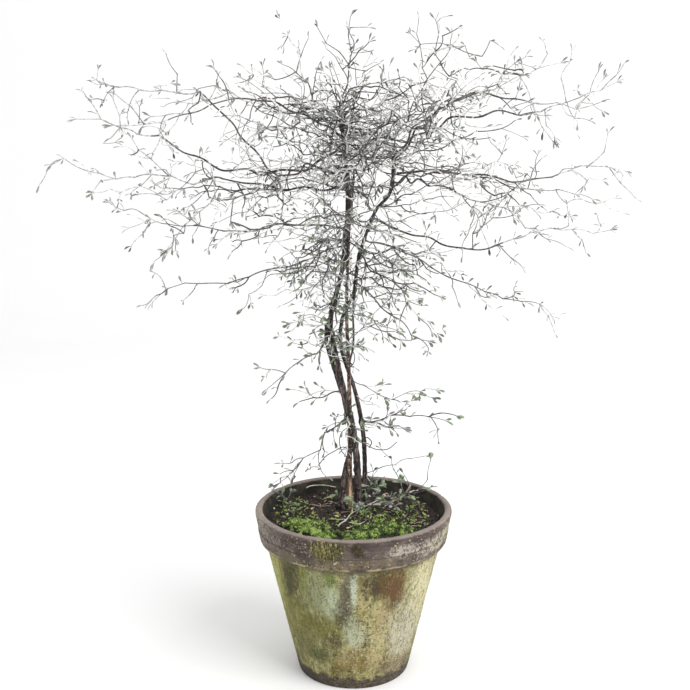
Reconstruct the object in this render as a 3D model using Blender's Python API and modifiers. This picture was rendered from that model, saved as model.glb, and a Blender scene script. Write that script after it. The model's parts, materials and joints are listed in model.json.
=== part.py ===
"""A corokia trained as a small tree, in an old clay pot.

Metres, +Z up. The origin is the middle of the pot's flat underside. +X is to the right and +Y is away from
somebody who looks at the plant's front. Bearings are in degrees from +X towards +Y.
"""

import math
import random

import bmesh
import bpy
import numpy as np
from mathutils import Matrix, Vector

# The pot: a thrown clay pot of about 26 cm across its rim
RIM_RADIUS = 0.130
RIM_HEIGHT = 0.225
MOUTH_RADIUS = 0.1208
BAND_FOOT_RADIUS = 0.1228
BAND_FOOT_HEIGHT = 0.182
NECK_RADIUS = 0.1168
BASE_RADIUS = 0.0742
FLOOR_THICKNESS = 0.012
FLOOR_INNER_RADIUS = 0.064
POT_SIDES = 30

# Soil, mounded round the stems, and moss on it
MOUND_HEIGHT = 0.215
SOIL_EDGE_HEIGHT = 0.2065
SOIL_RINGS = (0.036, 0.066, 0.092)

# Each cushion of moss: its bearing and reach, then half its length, width and height
MOSS_CUSHIONS = (
    (226, 0.082, 0.042, 0.021, 0.008),
    (262, 0.088, 0.036, 0.016, 0.007),
    (296, 0.080, 0.045, 0.024, 0.008),
)

# Clearance between solids that touch on the real plant
GAP = 0.0003

# Stems: how finely they are cut into straight runs, and the flare at the soil
STEM_SAMPLES = 19
STEM_FOOT_RUN = 0.004
FLARE_SHARE = 0.42
FLARE_HEIGHT = 0.012

# Boughs: the first straight run, the spacing of the nodes, the swing at each and the radius at the tip
BOUGH_FOOT_RUN = 0.006
BOUGH_NODE = 0.026
BOUGH_WAVE = 0.0048
BOUGH_TIP_RADIUS = 0.0013

# Twigs: spacing of the nodes on a leader and on a side shoot, the turn at a node, and the radii
LEADER_FOOT_RUN = 0.007
LEADER_NODE = 0.031
SIDE_NODE = 0.027
KINK = math.radians(34)
TWIG_FOOT_RADIUS = 0.0012
SIDE_FOOT_RADIUS = 0.00078
TWIG_TIP_RADIUS = 0.0006

# Side shoots: how far past a node they start, how widely they open, the turn from one to the next, and their
# length as a share of the mass's spread
PAST_BEND = 0.0024
SIDE_OPENS = (math.radians(48), math.radians(82))
SIDE_TURN = 2.4
SIDE_SHARE = (0.7, 1.25)

# What a twig stays clear of: limbs, other twigs, the next mass's space and the soil
CLEAR_OF_LIMB = 0.0009
CLEAR_OF_TWIG = 0.0006
HOME_MARGIN = 0.0032
LOWEST_TWIG = MOUND_HEIGHT + 0.012

# Leaves: spoon shapes, a little larger than life because there are fewer of them
LEAF_LENGTH = 0.0175
LEAF_WIDTH = 0.0066
LEAF_THICKNESS = 0.0009
WIDEST_AT = 0.64
LEAF_OPENS = 0.95
LEAF_MARGIN = 0.002

# Colours as linear red, green and blue, then roughness
CLAY = ((0.17, 0.14, 0.09), 0.9)
EARTH = ((0.030, 0.021, 0.015), 1.0)
MOSS = ((0.13, 0.22, 0.04), 1.0)
DARK_BARK = ((0.075, 0.050, 0.045), 0.85)
RED_BARK = ((0.19, 0.095, 0.060), 0.8)
GREY_BARK = ((0.13, 0.11, 0.105), 0.85)
FOLIAGE = ((0.16, 0.19, 0.15), 0.75)

# Each stem: radius at the foot, radius at the tip, bark, and the bends that its middle line goes through
STEMS = {
    "stem_main": (0.0045, 0.0026, DARK_BARK, (
        (0.007, 0.023, MOUND_HEIGHT), (0.003, 0.016, 0.295), (-0.012, 0.012, 0.370),
        (-0.028, 0.019, 0.447), (-0.028, 0.020, 0.486), (-0.014, 0.019, 0.543),
        (-0.008, 0.017, 0.640), (-0.017, 0.015, 0.738))),
    "stem_straight": (0.0030, 0.0021, RED_BARK, (
        (-0.005, 0.021, MOUND_HEIGHT), (-0.005, 0.023, 0.325), (-0.006, 0.021, 0.400),
        (-0.009, 0.013, 0.500), (-0.004, 0.004, 0.640))),
    "stem_right": (0.0029, 0.0023, DARK_BARK, (
        (0.016, 0.034, MOUND_HEIGHT), (0.014, 0.030, 0.308), (0.003, 0.031, 0.370),
        (-0.016, 0.030, 0.430), (-0.015, 0.030, 0.470), (0.000, 0.026, 0.506),
        (0.007, 0.024, 0.553), (0.027, 0.020, 0.610), (0.047, 0.016, 0.638), (0.051, 0.014, 0.694))),
    "stem_left": (0.0031, 0.0021, DARK_BARK, (
        (-0.016, 0.014, MOUND_HEIGHT), (-0.012, 0.024, 0.260), (0.000, 0.036, 0.320),
        (-0.020, 0.028, 0.385), (-0.036, 0.023, 0.450), (-0.024, 0.034, 0.492),
        (-0.008, 0.037, 0.570), (0.000, 0.035, 0.655))),
}

# Each bough: the limb it leaves and where (a height on a stem, a distance from the pot's axis on a bough),
# then its tip's bearing, reach and height, how far it dips on the way, and the radius of its foot
BOUGHS = {
    "bough_left": ("stem_main", 0.686, 180, 0.235, 0.702, 0.034, 0.0025),
    "bough_left_upper": ("bough_left", 0.105, 168, 0.195, 0.757, -0.004, 0.0017),
    "bough_left_mid": ("stem_main", 0.642, 187, 0.165, 0.654, 0.006, 0.0021),
    "bough_front_left_upper": ("stem_main", 0.704, 221, 0.140, 0.744, -0.006, 0.0021),
    "bough_back_left_upper": ("stem_main", 0.716, 132, 0.145, 0.757, -0.006, 0.0020),
    "bough_front_left": ("stem_main", 0.660, 232, 0.135, 0.660, -0.008, 0.0021),
    "bough_back_left": ("stem_main", 0.652, 124, 0.150, 0.660, -0.008, 0.0021),
    "bough_right_upper": ("stem_right", 0.686, 1, 0.200, 0.732, -0.016, 0.0022),
    "bough_right": ("stem_right", 0.660, 357, 0.190, 0.651, -0.006, 0.0022),
    "bough_right_low": ("stem_right", 0.602, 356, 0.140, 0.567, 0.004, 0.0020),
    "bough_front_right_upper": ("stem_right", 0.676, 316, 0.145, 0.738, -0.006, 0.0020),
    "bough_back_right_upper": ("stem_right", 0.680, 38, 0.150, 0.750, -0.006, 0.0020),
    "bough_front_right": ("stem_right", 0.648, 306, 0.140, 0.650, -0.006, 0.0020),
    "bough_back_right": ("stem_right", 0.642, 48, 0.150, 0.656, -0.006, 0.0020),
}

# Each mass of twigs and leaves: the limb it grows from and where (None is the limb's tip), then its furthest
# tip's bearing, reach and height, how far its twigs spread from the line to that tip, and how many side
# shoots and leaves it has
MASSES = {
    "crown_top": ("stem_main", None, 100, 0.014, 0.866, 0.055, 6, 7),
    "crown_top_left": ("stem_main", 0.728, 190, 0.100, 0.800, 0.055, 6, 6),
    "crown_top_right": ("stem_right", None, 8, 0.130, 0.843, 0.060, 6, 6),
    "crown_top_front": ("stem_main", 0.722, 275, 0.130, 0.760, 0.055, 6, 6),
    "crown_top_back": ("stem_main", 0.732, 84, 0.165, 0.785, 0.060, 6, 6),
    "crown_front_upper": ("stem_straight", None, 288, 0.140, 0.712, 0.055, 6, 6),
    "crown_front": ("stem_straight", 0.600, 262, 0.230, 0.636, 0.060, 7, 7),
    "crown_back": ("stem_left", None, 96, 0.190, 0.712, 0.055, 7, 6),
    "crown_front_left": ("stem_main", 0.580, 230, 0.125, 0.530, 0.050, 6, 7),
    "crown_front_right": ("stem_right", 0.556, 302, 0.125, 0.520, 0.050, 6, 7),
    "spray_right_upper": ("bough_right_upper", None, 3, 0.343, 0.776, 0.055, 6, 6),
    "spray_right_high": ("bough_back_right_upper", None, 24, 0.322, 0.808, 0.060, 5, 6),
    "spray_back_right_upper": ("bough_back_right_upper", 0.105, 64, 0.300, 0.762, 0.060, 5, 6),
    "spray_back_upper": ("bough_back_left_upper", 0.090, 104, 0.350, 0.765, 0.060, 5, 6),
    "spray_back_left_upper": ("bough_back_left_upper", None, 140, 0.340, 0.755, 0.060, 5, 6),
    "spray_left_upper": ("bough_left_upper", None, 168, 0.362, 0.776, 0.055, 5, 6),
    "spray_left": ("bough_left", None, 181, 0.364, 0.742, 0.050, 5, 6),
    "spray_front_left_upper": ("bough_front_left_upper", None, 214, 0.330, 0.712, 0.060, 5, 6),
    "spray_front_upper": ("bough_front_left_upper", 0.080, 252, 0.330, 0.715, 0.060, 6, 6),
    "spray_front_right_high": ("bough_front_right_upper", 0.085, 288, 0.250, 0.735, 0.060, 6, 6),
    "spray_front_right_upper": ("bough_front_right_upper", None, 324, 0.335, 0.738, 0.060, 5, 6),
    "spray_right": ("bough_right", None, 359, 0.353, 0.664, 0.052, 6, 6),
    "spray_back_right": ("bough_back_right", None, 42, 0.335, 0.668, 0.060, 6, 6),
    "spray_back_left": ("bough_back_left", None, 118, 0.330, 0.664, 0.060, 6, 6),
    "spray_left_back": ("bough_left_mid", 0.085, 158, 0.330, 0.628, 0.060, 6, 6),
    "spray_left_mid": ("bough_left_mid", None, 184, 0.386, 0.672, 0.055, 6, 7),
    "spray_front_left": ("bough_front_left", None, 228, 0.300, 0.622, 0.060, 6, 6),
    "spray_front_right": ("bough_front_right", None, 306, 0.300, 0.622, 0.060, 6, 6),
    "spray_right_front": ("bough_right", 0.090, 336, 0.310, 0.632, 0.055, 6, 6),
    "spray_right_low": ("bough_right_low", None, 2, 0.342, 0.590, 0.045, 6, 6),
    "spray_left_low": ("stem_main", 0.590, 176, 0.315, 0.600, 0.050, 7, 7),
    "spray_left_lowest": ("stem_main", 0.568, 191, 0.268, 0.500, 0.045, 6, 7),
    "spray_right_lowest": ("stem_right", 0.575, 350, 0.264, 0.480, 0.045, 6, 7),
    "spray_back_low": ("stem_left", 0.550, 92, 0.190, 0.530, 0.055, 6, 6),
    "shoot_trunk_right": ("stem_right", 0.520, 350, 0.108, 0.440, 0.036, 6, 8),
    "shoot_trunk_left": ("stem_main", 0.452, 192, 0.124, 0.380, 0.030, 5, 7),
    "shoot_low_right": ("stem_right", 0.330, 354, 0.134, 0.345, 0.030, 6, 8),
    "shoot_low_left": ("stem_main", 0.346, 196, 0.092, 0.262, 0.036, 6, 8),
    "shoot_at_soil": ("stem_right", 0.222, 345, 0.116, 0.262, 0.022, 4, 6),
}

SEED = 7


def place(bearing, reach, height):
    """The point at a bearing in degrees, a distance from the pot's axis and a height."""
    turn = math.radians(bearing)
    return Vector((reach * math.cos(turn), reach * math.sin(turn), height))


def clear_scene():
    for old in list(bpy.data.objects):
        bpy.data.objects.remove(old)


def material(name, look):
    """A Principled BSDF of one colour."""
    colour, roughness = look
    made = bpy.data.materials.get(name)
    if made is None:
        made = bpy.data.materials.new(name)
        made.use_nodes = True
        shader = made.node_tree.nodes["Principled BSDF"]
        shader.inputs["Base Color"].default_value = (*colour, 1.0)
        shader.inputs["Roughness"].default_value = roughness
        made.diffuse_color = (*colour, 1.0)
    return made


def add_object(name, data, collection, look=None, at=(0, 0, 0)):
    made = bpy.data.objects.new(name, data)
    made.location = at
    collection.objects.link(made)
    if look:
        data.materials.append(material(name, look))
    return made


def applied(source):
    """A mesh object in place of the source, with its modifiers or its curve's bevel made into real faces."""
    bpy.context.view_layer.update()
    evaluated = source.evaluated_get(bpy.context.evaluated_depsgraph_get())
    mesh = bpy.data.meshes.new_from_object(evaluated)
    if source.type == "CURVE":
        work = bmesh.new()
        work.from_mesh(mesh)
        bmesh.ops.remove_doubles(work, verts=work.verts, dist=1e-6)
        bmesh.ops.recalc_face_normals(work, faces=work.faces)
        work.to_mesh(mesh)
        work.free()
    name, matrix, collection = source.name, source.matrix_world.copy(), source.users_collection[0]
    bpy.data.objects.remove(source)
    made = bpy.data.objects.new(name, mesh)
    made.matrix_world = matrix
    collection.objects.link(made)
    return made


# Paths


def smooth_path(bends, samples):
    """Points along a curve through the bends, which leaves the first of them straight upwards."""
    lead_in = bends[0] - Vector((0, 0, (bends[1] - bends[0]).length))
    ends = [lead_in, *bends, bends[-1] * 2 - bends[-2]]
    spans = len(bends) - 1
    points = []
    for k in range(samples + 1):
        place_on = k / samples * spans
        i = min(int(place_on), spans - 1)
        t = place_on - i
        a, b, c, d = ends[i:i + 4]
        points.append(0.5 * (2 * b + (c - a) * t + (2 * a - 5 * b + 4 * c - d) * t ** 2
                             + (3 * b - a - 3 * c + d) * t ** 3))
    return points


def square_to(direction, turn):
    """A unit vector at right angles to a direction, turned round it by an angle."""
    rough = Vector((0, 0, 1)) if abs(direction.z) < 0.9 else Vector((1, 0, 0))
    side = direction.cross(rough).normalized()
    return math.cos(turn) * side + math.sin(turn) * direction.cross(side).normalized()


def to_segments(point, starts, ends):
    """Distances from one point to each of many segments."""
    along = ends - starts
    share = ((point - starts) * along).sum(axis=1) / np.maximum((along * along).sum(axis=1), 1e-12)
    nearest = starts + np.clip(share, 0, 1)[:, None] * along
    return np.linalg.norm(nearest - point, axis=1)


class Limb:
    """A stem or bough: its middle line and its radius at each point of it."""

    def __init__(self, points, radii, is_stem):
        self.points = points
        self.radii = radii
        self.is_stem = is_stem
        line = np.array([tuple(p) for p in points])
        self.starts, self.ends = line[:-1], line[1:]
        self.thickness = np.array(radii[:-1])

    def leave_at(self, place_on):
        """The point, its radius and the limb's direction, at a height on a stem or a reach on a bough."""
        def measure(p):
            return p.z if self.is_stem else math.hypot(p.x, p.y)
        for a, b, r in zip(self.points, self.points[1:], self.radii):
            if measure(a) <= place_on <= measure(b):
                share = (place_on - measure(a)) / (measure(b) - measure(a))
                return a.lerp(b, share), r, (b - a).normalized()
        raise ValueError(f"the limb doesn't reach {place_on}")

    def clearance(self, point):
        """How far a point is outside the limb's surface."""
        gaps = to_segments(np.array(tuple(point)), self.starts, self.ends) - self.thickness
        return gaps.min()

    def tip(self):
        """The tip, and the direction in which the limb ends."""
        return self.points[-1], (self.points[-1] - self.points[-2]).normalized()


def seat_on(limb, place_on, goal, radius):
    """Where a side shoot of this radius starts, so that its end face just clears the limb it grows from."""
    middle, limb_radius, _ = limb.leave_at(place_on)
    heading = (goal - middle).normalized()
    out = limb_radius
    while True:
        start = middle + heading * out
        rim = [start + square_to(heading, k * math.pi / 6) * radius for k in range(12)]
        if min(limb.clearance(p) for p in rim) >= GAP:
            return start, heading
        out += 0.0001


def stem_limb(bends, foot_radius, tip_radius):
    """A stem with a flat cut at the soil, a flare just over it, and an even taper."""
    foot = Vector(bends[0]) + Vector((0, 0, GAP))
    straight = foot + Vector((0, 0, STEM_FOOT_RUN))
    line = [foot, *smooth_path([straight, *map(Vector, bends[1:])], STEM_SAMPLES)]
    height = line[-1].z - foot.z
    radii = []
    for p in line:
        share = (p.z - foot.z) / height
        flare = 1 + FLARE_SHARE * math.exp(-(p.z - foot.z) / FLARE_HEIGHT)
        radii.append((foot_radius + (tip_radius - foot_radius) * share) * flare)
    return Limb(line, radii, True)


def bough_limb(name, limbs):
    """A bough that swings from side to side at its nodes on its way to its tip."""
    parent, place_on, bearing, reach, height, dip, foot_radius = BOUGHS[name]
    draw = random.Random(f"{SEED} {name}")
    tip = place(bearing, reach, height)
    start, heading = seat_on(limbs[parent], place_on, tip, foot_radius)
    nodes = max(4, round((tip - start).length / BOUGH_NODE))
    turn = draw.uniform(0, math.tau)
    line = [start, start + heading * BOUGH_FOOT_RUN]
    for k in range(1, nodes):
        share = k / nodes
        swing = BOUGH_WAVE * draw.uniform(0.5, 1.3) * (-1) ** k * math.sin(math.pi * share) ** 0.5
        middle = start.lerp(tip, share + draw.uniform(-0.2, 0.2) / nodes)
        middle.z -= 4 * dip * share * (1 - share)
        line.append(middle + square_to(heading, turn) * swing)
        turn += draw.uniform(-0.7, 0.7)
    line.append(tip)
    steps = len(line) - 1
    radii = [foot_radius + (BOUGH_TIP_RADIUS - foot_radius) * k / steps for k in range(steps + 1)]
    return Limb(line, radii, False)


# Solids of the wood


def hide(guide):
    """Marks an object as a guide or a cutter, which is no part of the plant."""
    guide.hide_render = True
    guide.display_type = "WIRE"


def combined(body, other, operation):
    """The body with another mesh added to it or cut from it."""
    step = body.modifiers.new("combine", "BOOLEAN")
    step.operation = operation
    step.solver = "EXACT"
    step.object = other
    return applied(body)


def section(name, sides, collection):
    """A hidden closed outline of a millimetre's radius, for sweeping a twig along its line."""
    curve = bpy.data.curves.new(name, "CURVE")
    curve.dimensions = "2D"
    spline = curve.splines.new("POLY")
    spline.points.add(sides - 1)
    for k, point in enumerate(spline.points):
        turn = math.tau * k / sides
        point.co = (0.001 * math.cos(turn), 0.001 * math.sin(turn), 0, 1)
    spline.use_cyclic_u = True
    made = add_object(name, curve, collection)
    hide(made)
    return made


def swept(name, points, radii, collection, look=None, outline=None, resolution=1):
    """A capped, tapering tube along the points, round unless an outline is given."""
    curve = bpy.data.curves.new(name, "CURVE")
    curve.dimensions = "3D"
    curve.use_fill_caps = True
    if outline:
        curve.bevel_mode = "OBJECT"
        curve.bevel_object = outline
    else:
        curve.bevel_depth = 0.001
        curve.bevel_resolution = resolution
    spline = curve.splines.new("POLY")
    spline.points.add(len(points) - 1)
    for target, point, radius in zip(spline.points, points, radii):
        target.co = (*(point - points[0]), 1)
        target.radius = radius * 1000
    return add_object(name, curve, collection, look, points[0])


def leaf(name, root, direction, face, collection):
    """One spoon-shaped leaf: a three-sided spindle, widest near its tip, pressed flat with a keel below."""
    work = bmesh.new()
    bmesh.ops.create_uvsphere(work, u_segments=3, v_segments=2, radius=1)
    for vertex in work.verts:
        keel, across, along = vertex.co
        height = WIDEST_AT if abs(along) < 0.5 else (1 + along) / 2
        width = across / math.sin(math.pi / 3) * LEAF_WIDTH / 2
        vertex.co = (width, -keel * LEAF_THICKNESS / 1.5, height * LEAF_LENGTH)
    mesh = bpy.data.meshes.new(name)
    work.to_mesh(mesh)
    work.free()
    made = add_object(name, mesh, collection, at=root)
    flat = (face - direction * face.dot(direction)).normalized()
    across = flat.cross(direction)
    made.rotation_mode = "QUATERNION"
    made.rotation_quaternion = Matrix((across, flat, direction)).transposed().to_quaternion()
    return made


def drop_slivers(mesh):
    """Takes away loose faces without volume, left by the union where two twigs only graze."""
    work = bmesh.new()
    work.from_mesh(mesh)
    left = set(work.faces)
    islands = []
    while left:
        island = [left.pop()]
        for face in island:
            for edge in face.edges:
                for other in edge.link_faces:
                    if other in left:
                        left.remove(other)
                        island.append(other)
        islands.append(island)
    slivers = [face for island in sorted(islands, key=len)[:-1] if len(island) < 12 for face in island]
    bmesh.ops.delete(work, geom=slivers, context="FACES")
    work.to_mesh(mesh)
    work.free()


# Growth of a mass


class Mass:
    """One mass: twigs that branch by a seeded rule from one stem, and the leaves on them."""

    def __init__(self, name, homes, limbs):
        self.name = name
        self.parent, self.place_on, *_, self.spread, self.side_shoots, self.leaf_limit = MASSES[name]
        self.index = list(MASSES).index(name)
        self.home_starts, self.home_ends = homes
        self.limbs = limbs
        self.draw = random.Random(f"{SEED} {name}")
        self.shoots = []
        self.starts, self.ends = np.zeros((0, 3)), np.zeros((0, 3))
        self.blades = []
        self.leaves = []

    def at_home(self, point, margin=HOME_MARGIN):
        """Whether a point lies in this mass's own space, nearer to its line than to any other's."""
        away = to_segments(np.array(tuple(point)), self.home_starts, self.home_ends)
        own = away[self.index]
        away[self.index] = np.inf
        return own + margin < away.min() and own < self.spread

    def fits(self, a, b, radius, near_foot):
        """Whether a twig from a to b keeps to its space and clear of the limbs and of its own other twigs."""
        for share in (0.3, 0.65, 1.0):
            point = a.lerp(b, share)
            if point.z < LOWEST_TWIG or not self.at_home(point):
                return False
            for name, limb in self.limbs.items():
                if near_foot and name == self.parent:
                    continue
                if limb.clearance(point) < radius + CLEAR_OF_LIMB:
                    return False
            if len(self.starts) and share > 0.3:
                away = to_segments(np.array(tuple(point)), self.starts, self.ends)
                if away.min() < 2 * radius + CLEAR_OF_TWIG:
                    return False
        return True

    def shoot(self, start, heading, goal, node, foot_radius, leader):
        """One zigzag shoot from start towards goal: at each node it turns to the other side."""
        draw = self.draw
        line = [start]
        if leader:
            line.append(start + heading * LEADER_FOOT_RUN)
        turn, side = draw.uniform(0, math.tau), draw.choice((-1, 1))
        attempts = 40 if leader else 8
        while len(line) < 3 or (goal - line[-1]).length > node * 0.45:
            here = line[-1]
            left = goal - here
            along = left.normalized()
            for attempt in range(attempts):
                bend = side * KINK * draw.uniform(0.55, 1.25) * (1 + attempt / attempts)
                step = math.cos(bend) * along + math.sin(bend) * square_to(along, turn)
                reached = here + step * node * draw.uniform(0.75, 1.3)
                if left.length < node * 1.25 and attempt < 3:
                    reached = here.lerp(goal, 1 - attempt / 5)
                nearer = (goal - reached).length < left.length * 0.9
                if nearer and self.fits(here, reached, foot_radius, leader and len(line) < 4):
                    line.append(reached)
                    break
                turn += draw.uniform(0.5, 1.5)
            else:
                break
            side = -side
            turn += draw.uniform(-0.8, 0.8)
        if len(line) < 3:
            return None
        steps = len(line) - 1
        radii = [foot_radius + (TWIG_TIP_RADIUS - foot_radius) * k / steps for k in range(steps + 1)]
        self.shoots.append((line, radii))
        points = np.array([tuple(p) for p in line])
        self.starts = np.concatenate([self.starts, points[:-1]])
        self.ends = np.concatenate([self.ends, points[1:]])
        return line

    def add_leaf(self, node, direction, face):
        """A leaf on a node, left out if its blade would meet a limb, a twig or another blade."""
        if len(self.leaves) >= self.leaf_limit:
            return
        blade = node + direction * LEAF_LENGTH * 0.62
        tip = node + direction * LEAF_LENGTH
        if not (self.at_home(tip, LEAF_MARGIN * 2) and self.at_home(blade, LEAF_WIDTH + LEAF_MARGIN)):
            return
        if min(limb.clearance(p) for limb in self.limbs.values() for p in (blade, tip)) < LEAF_WIDTH / 2:
            return
        for point in (blade, tip):
            if to_segments(np.array(tuple(point)), self.starts, self.ends).min() < LEAF_WIDTH * 0.6:
                return
        if any((blade - other).length < LEAF_WIDTH * 1.25 for other in self.blades):
            return
        if tip.z < LOWEST_TWIG:
            return
        self.blades.append(blade)
        self.leaves.append((node, direction, face))

    def grow(self, start, heading, goal):
        """The leader to the mass's furthest tip, side shoots from its nodes, and leaves on all of them."""
        draw = self.draw
        along = (goal - start).normalized()
        last_node = goal - along * LEAF_LENGTH * 0.9
        leader = self.shoot(start, heading, last_node, LEADER_NODE, TWIG_FOOT_RADIUS, True)
        turn = draw.uniform(0, math.tau)
        runs = list(zip(leader[1:], leader[2:]))
        for k in range(self.side_shoots):
            bend, after = runs[int((k + 0.5) / self.side_shoots * len(runs))]
            node = bend + (after - bend).normalized() * (PAST_BEND + PAST_BEND * (k % 2))
            opens = draw.uniform(*SIDE_OPENS)
            out = math.cos(opens) * along + math.sin(opens) * square_to(along, turn)
            reach = draw.uniform(*SIDE_SHARE) * self.spread
            self.shoot(node, out, node + out * reach, SIDE_NODE, SIDE_FOOT_RADIUS, False)
            turn += SIDE_TURN + draw.uniform(-0.5, 0.5)
        sprigs = []
        for line, _ in self.shoots:
            ends = (line[-1] - line[-2]).normalized()
            self.add_leaf(line[-1] - ends * 0.001, ends, square_to(ends, draw.uniform(0, math.tau)))
            sprigs += [(a, b) for a, b in zip(line[1:-1], line[2:])]
        draw.shuffle(sprigs)
        for a, b in sprigs:
            run = (b - a).normalized()
            around = square_to(run, draw.uniform(0, math.tau))
            out = math.cos(LEAF_OPENS) * run + math.sin(LEAF_OPENS) * around
            self.add_leaf(a + run * PAST_BEND, out, square_to(out, draw.uniform(0, math.tau)))

    def build(self, collection, outline):
        """The mass as one solid: every twig and leaf joined by one Boolean union."""
        cutters = bpy.data.collections.new("fused_" + self.name)
        bpy.context.scene.collection.children.link(cutters)
        line, radii = self.shoots[0]
        body = applied(swept(self.name, line, radii, collection, outline=outline))
        for k, (line, radii) in enumerate(self.shoots[1:]):
            applied(swept(f"twig_{k}", line, radii, cutters, outline=outline))
        for k, (root, direction, face) in enumerate(self.leaves):
            leaf(f"leaf_{k}", root, direction, face, cutters)
        union = body.modifiers.new("union", "BOOLEAN")
        union.operation = "UNION"
        union.solver = "MANIFOLD"
        union.operand_type = "COLLECTION"
        union.collection = cutters
        body = applied(body)
        drop_slivers(body.data)
        for helper in list(cutters.objects):
            bpy.data.objects.remove(helper)
        bpy.data.collections.remove(cutters)
        body.data.materials.clear()
        body.data.materials.append(material("foliage", FOLIAGE))
        return body


def mass_line(name, limbs):
    """Where a mass starts, the direction it starts in, and its furthest tip."""
    parent, place_on, bearing, reach, height, *_ = MASSES[name]
    goal = place(bearing, reach, height)
    if place_on is None:
        tip, heading = limbs[parent].tip()
        return tip + heading * GAP, heading, goal
    return (*seat_on(limbs[parent], place_on, goal, TWIG_FOOT_RADIUS), goal)


# Pot, soil and moss


def inner_radius(height):
    """The radius of the pot's inner wall at a height."""
    share = (height - FLOOR_THICKNESS) / (RIM_HEIGHT - 0.003 - FLOOR_THICKNESS)
    return FLOOR_INNER_RADIUS + (MOUTH_RADIUS - FLOOR_INNER_RADIUS) * share


def turned(name, profile, collection, look=None):
    """A profile of (radius, height) points turned about the Z axis."""
    mesh = bpy.data.meshes.new(name)
    points = [(r, 0, z) for r, z in profile]
    mesh.from_pydata(points, [(k, k + 1) for k in range(len(points) - 1)], [])
    made = add_object(name, mesh, collection, look)
    screw = made.modifiers.new("turn", "SCREW")
    screw.steps = screw.render_steps = POT_SIDES
    screw.use_merge_vertices = True
    screw.merge_threshold = 0.00001
    made = applied(made)
    made.data.shade_smooth()
    made.data.set_sharp_from_angle(angle=math.radians(35))
    return made


def build_pot(collection):
    """The pot: a tapering body under a thick band with a rolled lip."""
    lip = RIM_HEIGHT
    profile = [
        (0, FLOOR_THICKNESS),
        (FLOOR_INNER_RADIUS, FLOOR_THICKNESS),
        (inner_radius(0.17), 0.17),
        (MOUTH_RADIUS, lip - 0.003),
        (MOUTH_RADIUS + 0.0016, lip - 0.0004),
        (MOUTH_RADIUS + 0.0042, lip),
        (RIM_RADIUS - 0.0022, lip - 0.0012),
        (RIM_RADIUS, lip - 0.0045),
        (RIM_RADIUS - 0.0002, lip - 0.0078),
        (RIM_RADIUS - 0.0012, lip - 0.0090),
        (RIM_RADIUS - 0.0008, lip - 0.0105),
        (BAND_FOOT_RADIUS + 0.0014, BAND_FOOT_HEIGHT + 0.0035),
        (BAND_FOOT_RADIUS, BAND_FOOT_HEIGHT),
        (NECK_RADIUS, BAND_FOOT_HEIGHT - 0.0012),
        (BASE_RADIUS + 0.0004, 0.0022),
        (BASE_RADIUS - 0.0016, 0),
        (0, 0),
    ]
    return turned("pot", profile, collection, CLAY)


def soil_height(radius):
    """The soil's surface: a flat round the stems, and an even fall to the pot's wall."""
    share = max(0, radius - SOIL_RINGS[0]) / (inner_radius(SOIL_EDGE_HEIGHT) - SOIL_RINGS[0])
    return MOUND_HEIGHT + (SOIL_EDGE_HEIGHT - MOUND_HEIGHT) * share


def soil_profile(lift):
    """The soil's outline from the middle of its top to the middle of its underside, with its top lifted."""
    foot = FLOOR_THICKNESS + GAP
    profile = [(0, MOUND_HEIGHT + lift), *((r, soil_height(r) + lift) for r in SOIL_RINGS)]
    profile += [(inner_radius(SOIL_EDGE_HEIGHT) - 1.1 * GAP, SOIL_EDGE_HEIGHT + lift)]
    return profile + [(inner_radius(foot) - 1.1 * GAP, foot), (0, foot)]


def build_moss(collection, helpers):
    """The moss: cushions that run together along the front wall, cut from below by the soil's own surface."""
    moss = None
    for bearing, reach, half_length, half_width, height in MOSS_CUSHIONS:
        work = bmesh.new()
        bmesh.ops.create_uvsphere(work, u_segments=14, v_segments=8, radius=1)
        bmesh.ops.scale(work, verts=work.verts, vec=(half_width, half_length, height))
        mesh = bpy.data.meshes.new("moss")
        work.to_mesh(mesh)
        work.free()
        cushion = add_object("moss", mesh, collection, at=place(bearing, reach, soil_height(reach)))
        cushion.rotation_euler.z = math.radians(bearing)
        if moss:
            moss = combined(moss, cushion, "UNION")
            bpy.data.objects.remove(cushion)
        else:
            moss = cushion
    below = turned("moss_underside", soil_profile(GAP), helpers)
    hide(below)
    moss = combined(moss, below, "DIFFERENCE")
    moss.data.shade_smooth()
    moss.data.materials.clear()
    moss.data.materials.append(material("moss", MOSS))


def main():
    clear_scene()
    plant = bpy.data.collections.new("potted_corokia")
    helpers = bpy.data.collections.new("guides")
    for collection in (plant, helpers):
        bpy.context.scene.collection.children.link(collection)

    build_pot(plant)
    turned("soil", soil_profile(0), plant, EARTH)
    build_moss(plant, helpers)

    limbs = {}
    for name, (foot_radius, tip_radius, look, bends) in STEMS.items():
        limbs[name] = stem_limb(bends, foot_radius, tip_radius)
        swept(name, limbs[name].points, limbs[name].radii, plant, look, resolution=2)
    for name in BOUGHS:
        limbs[name] = bough_limb(name, limbs)
        swept(name, limbs[name].points, limbs[name].radii, plant, GREY_BARK, resolution=1)

    lines = {name: mass_line(name, limbs) for name in MASSES}
    homes = (np.array([tuple(start) for start, _, _ in lines.values()]),
             np.array([tuple(goal) for _, _, goal in lines.values()]))
    outline = section("twig_section", 3, helpers)
    for name, line in lines.items():
        mass = Mass(name, homes, limbs)
        mass.grow(*line)
        mass.build(plant, outline)


main()
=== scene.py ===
# %% [markdown]
# A corokia in an old clay pot.
# The corokia, or wire-netting bush, is a shrub of thin twigs that turn sharply at every bud, so that its
# crown looks like tangled wire with small spoon-shaped leaves. This one was trained as a little tree on
# four thin stems. We dress the solid model of it: the solids say where everything is, and we make what the
# eye sees.

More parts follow.
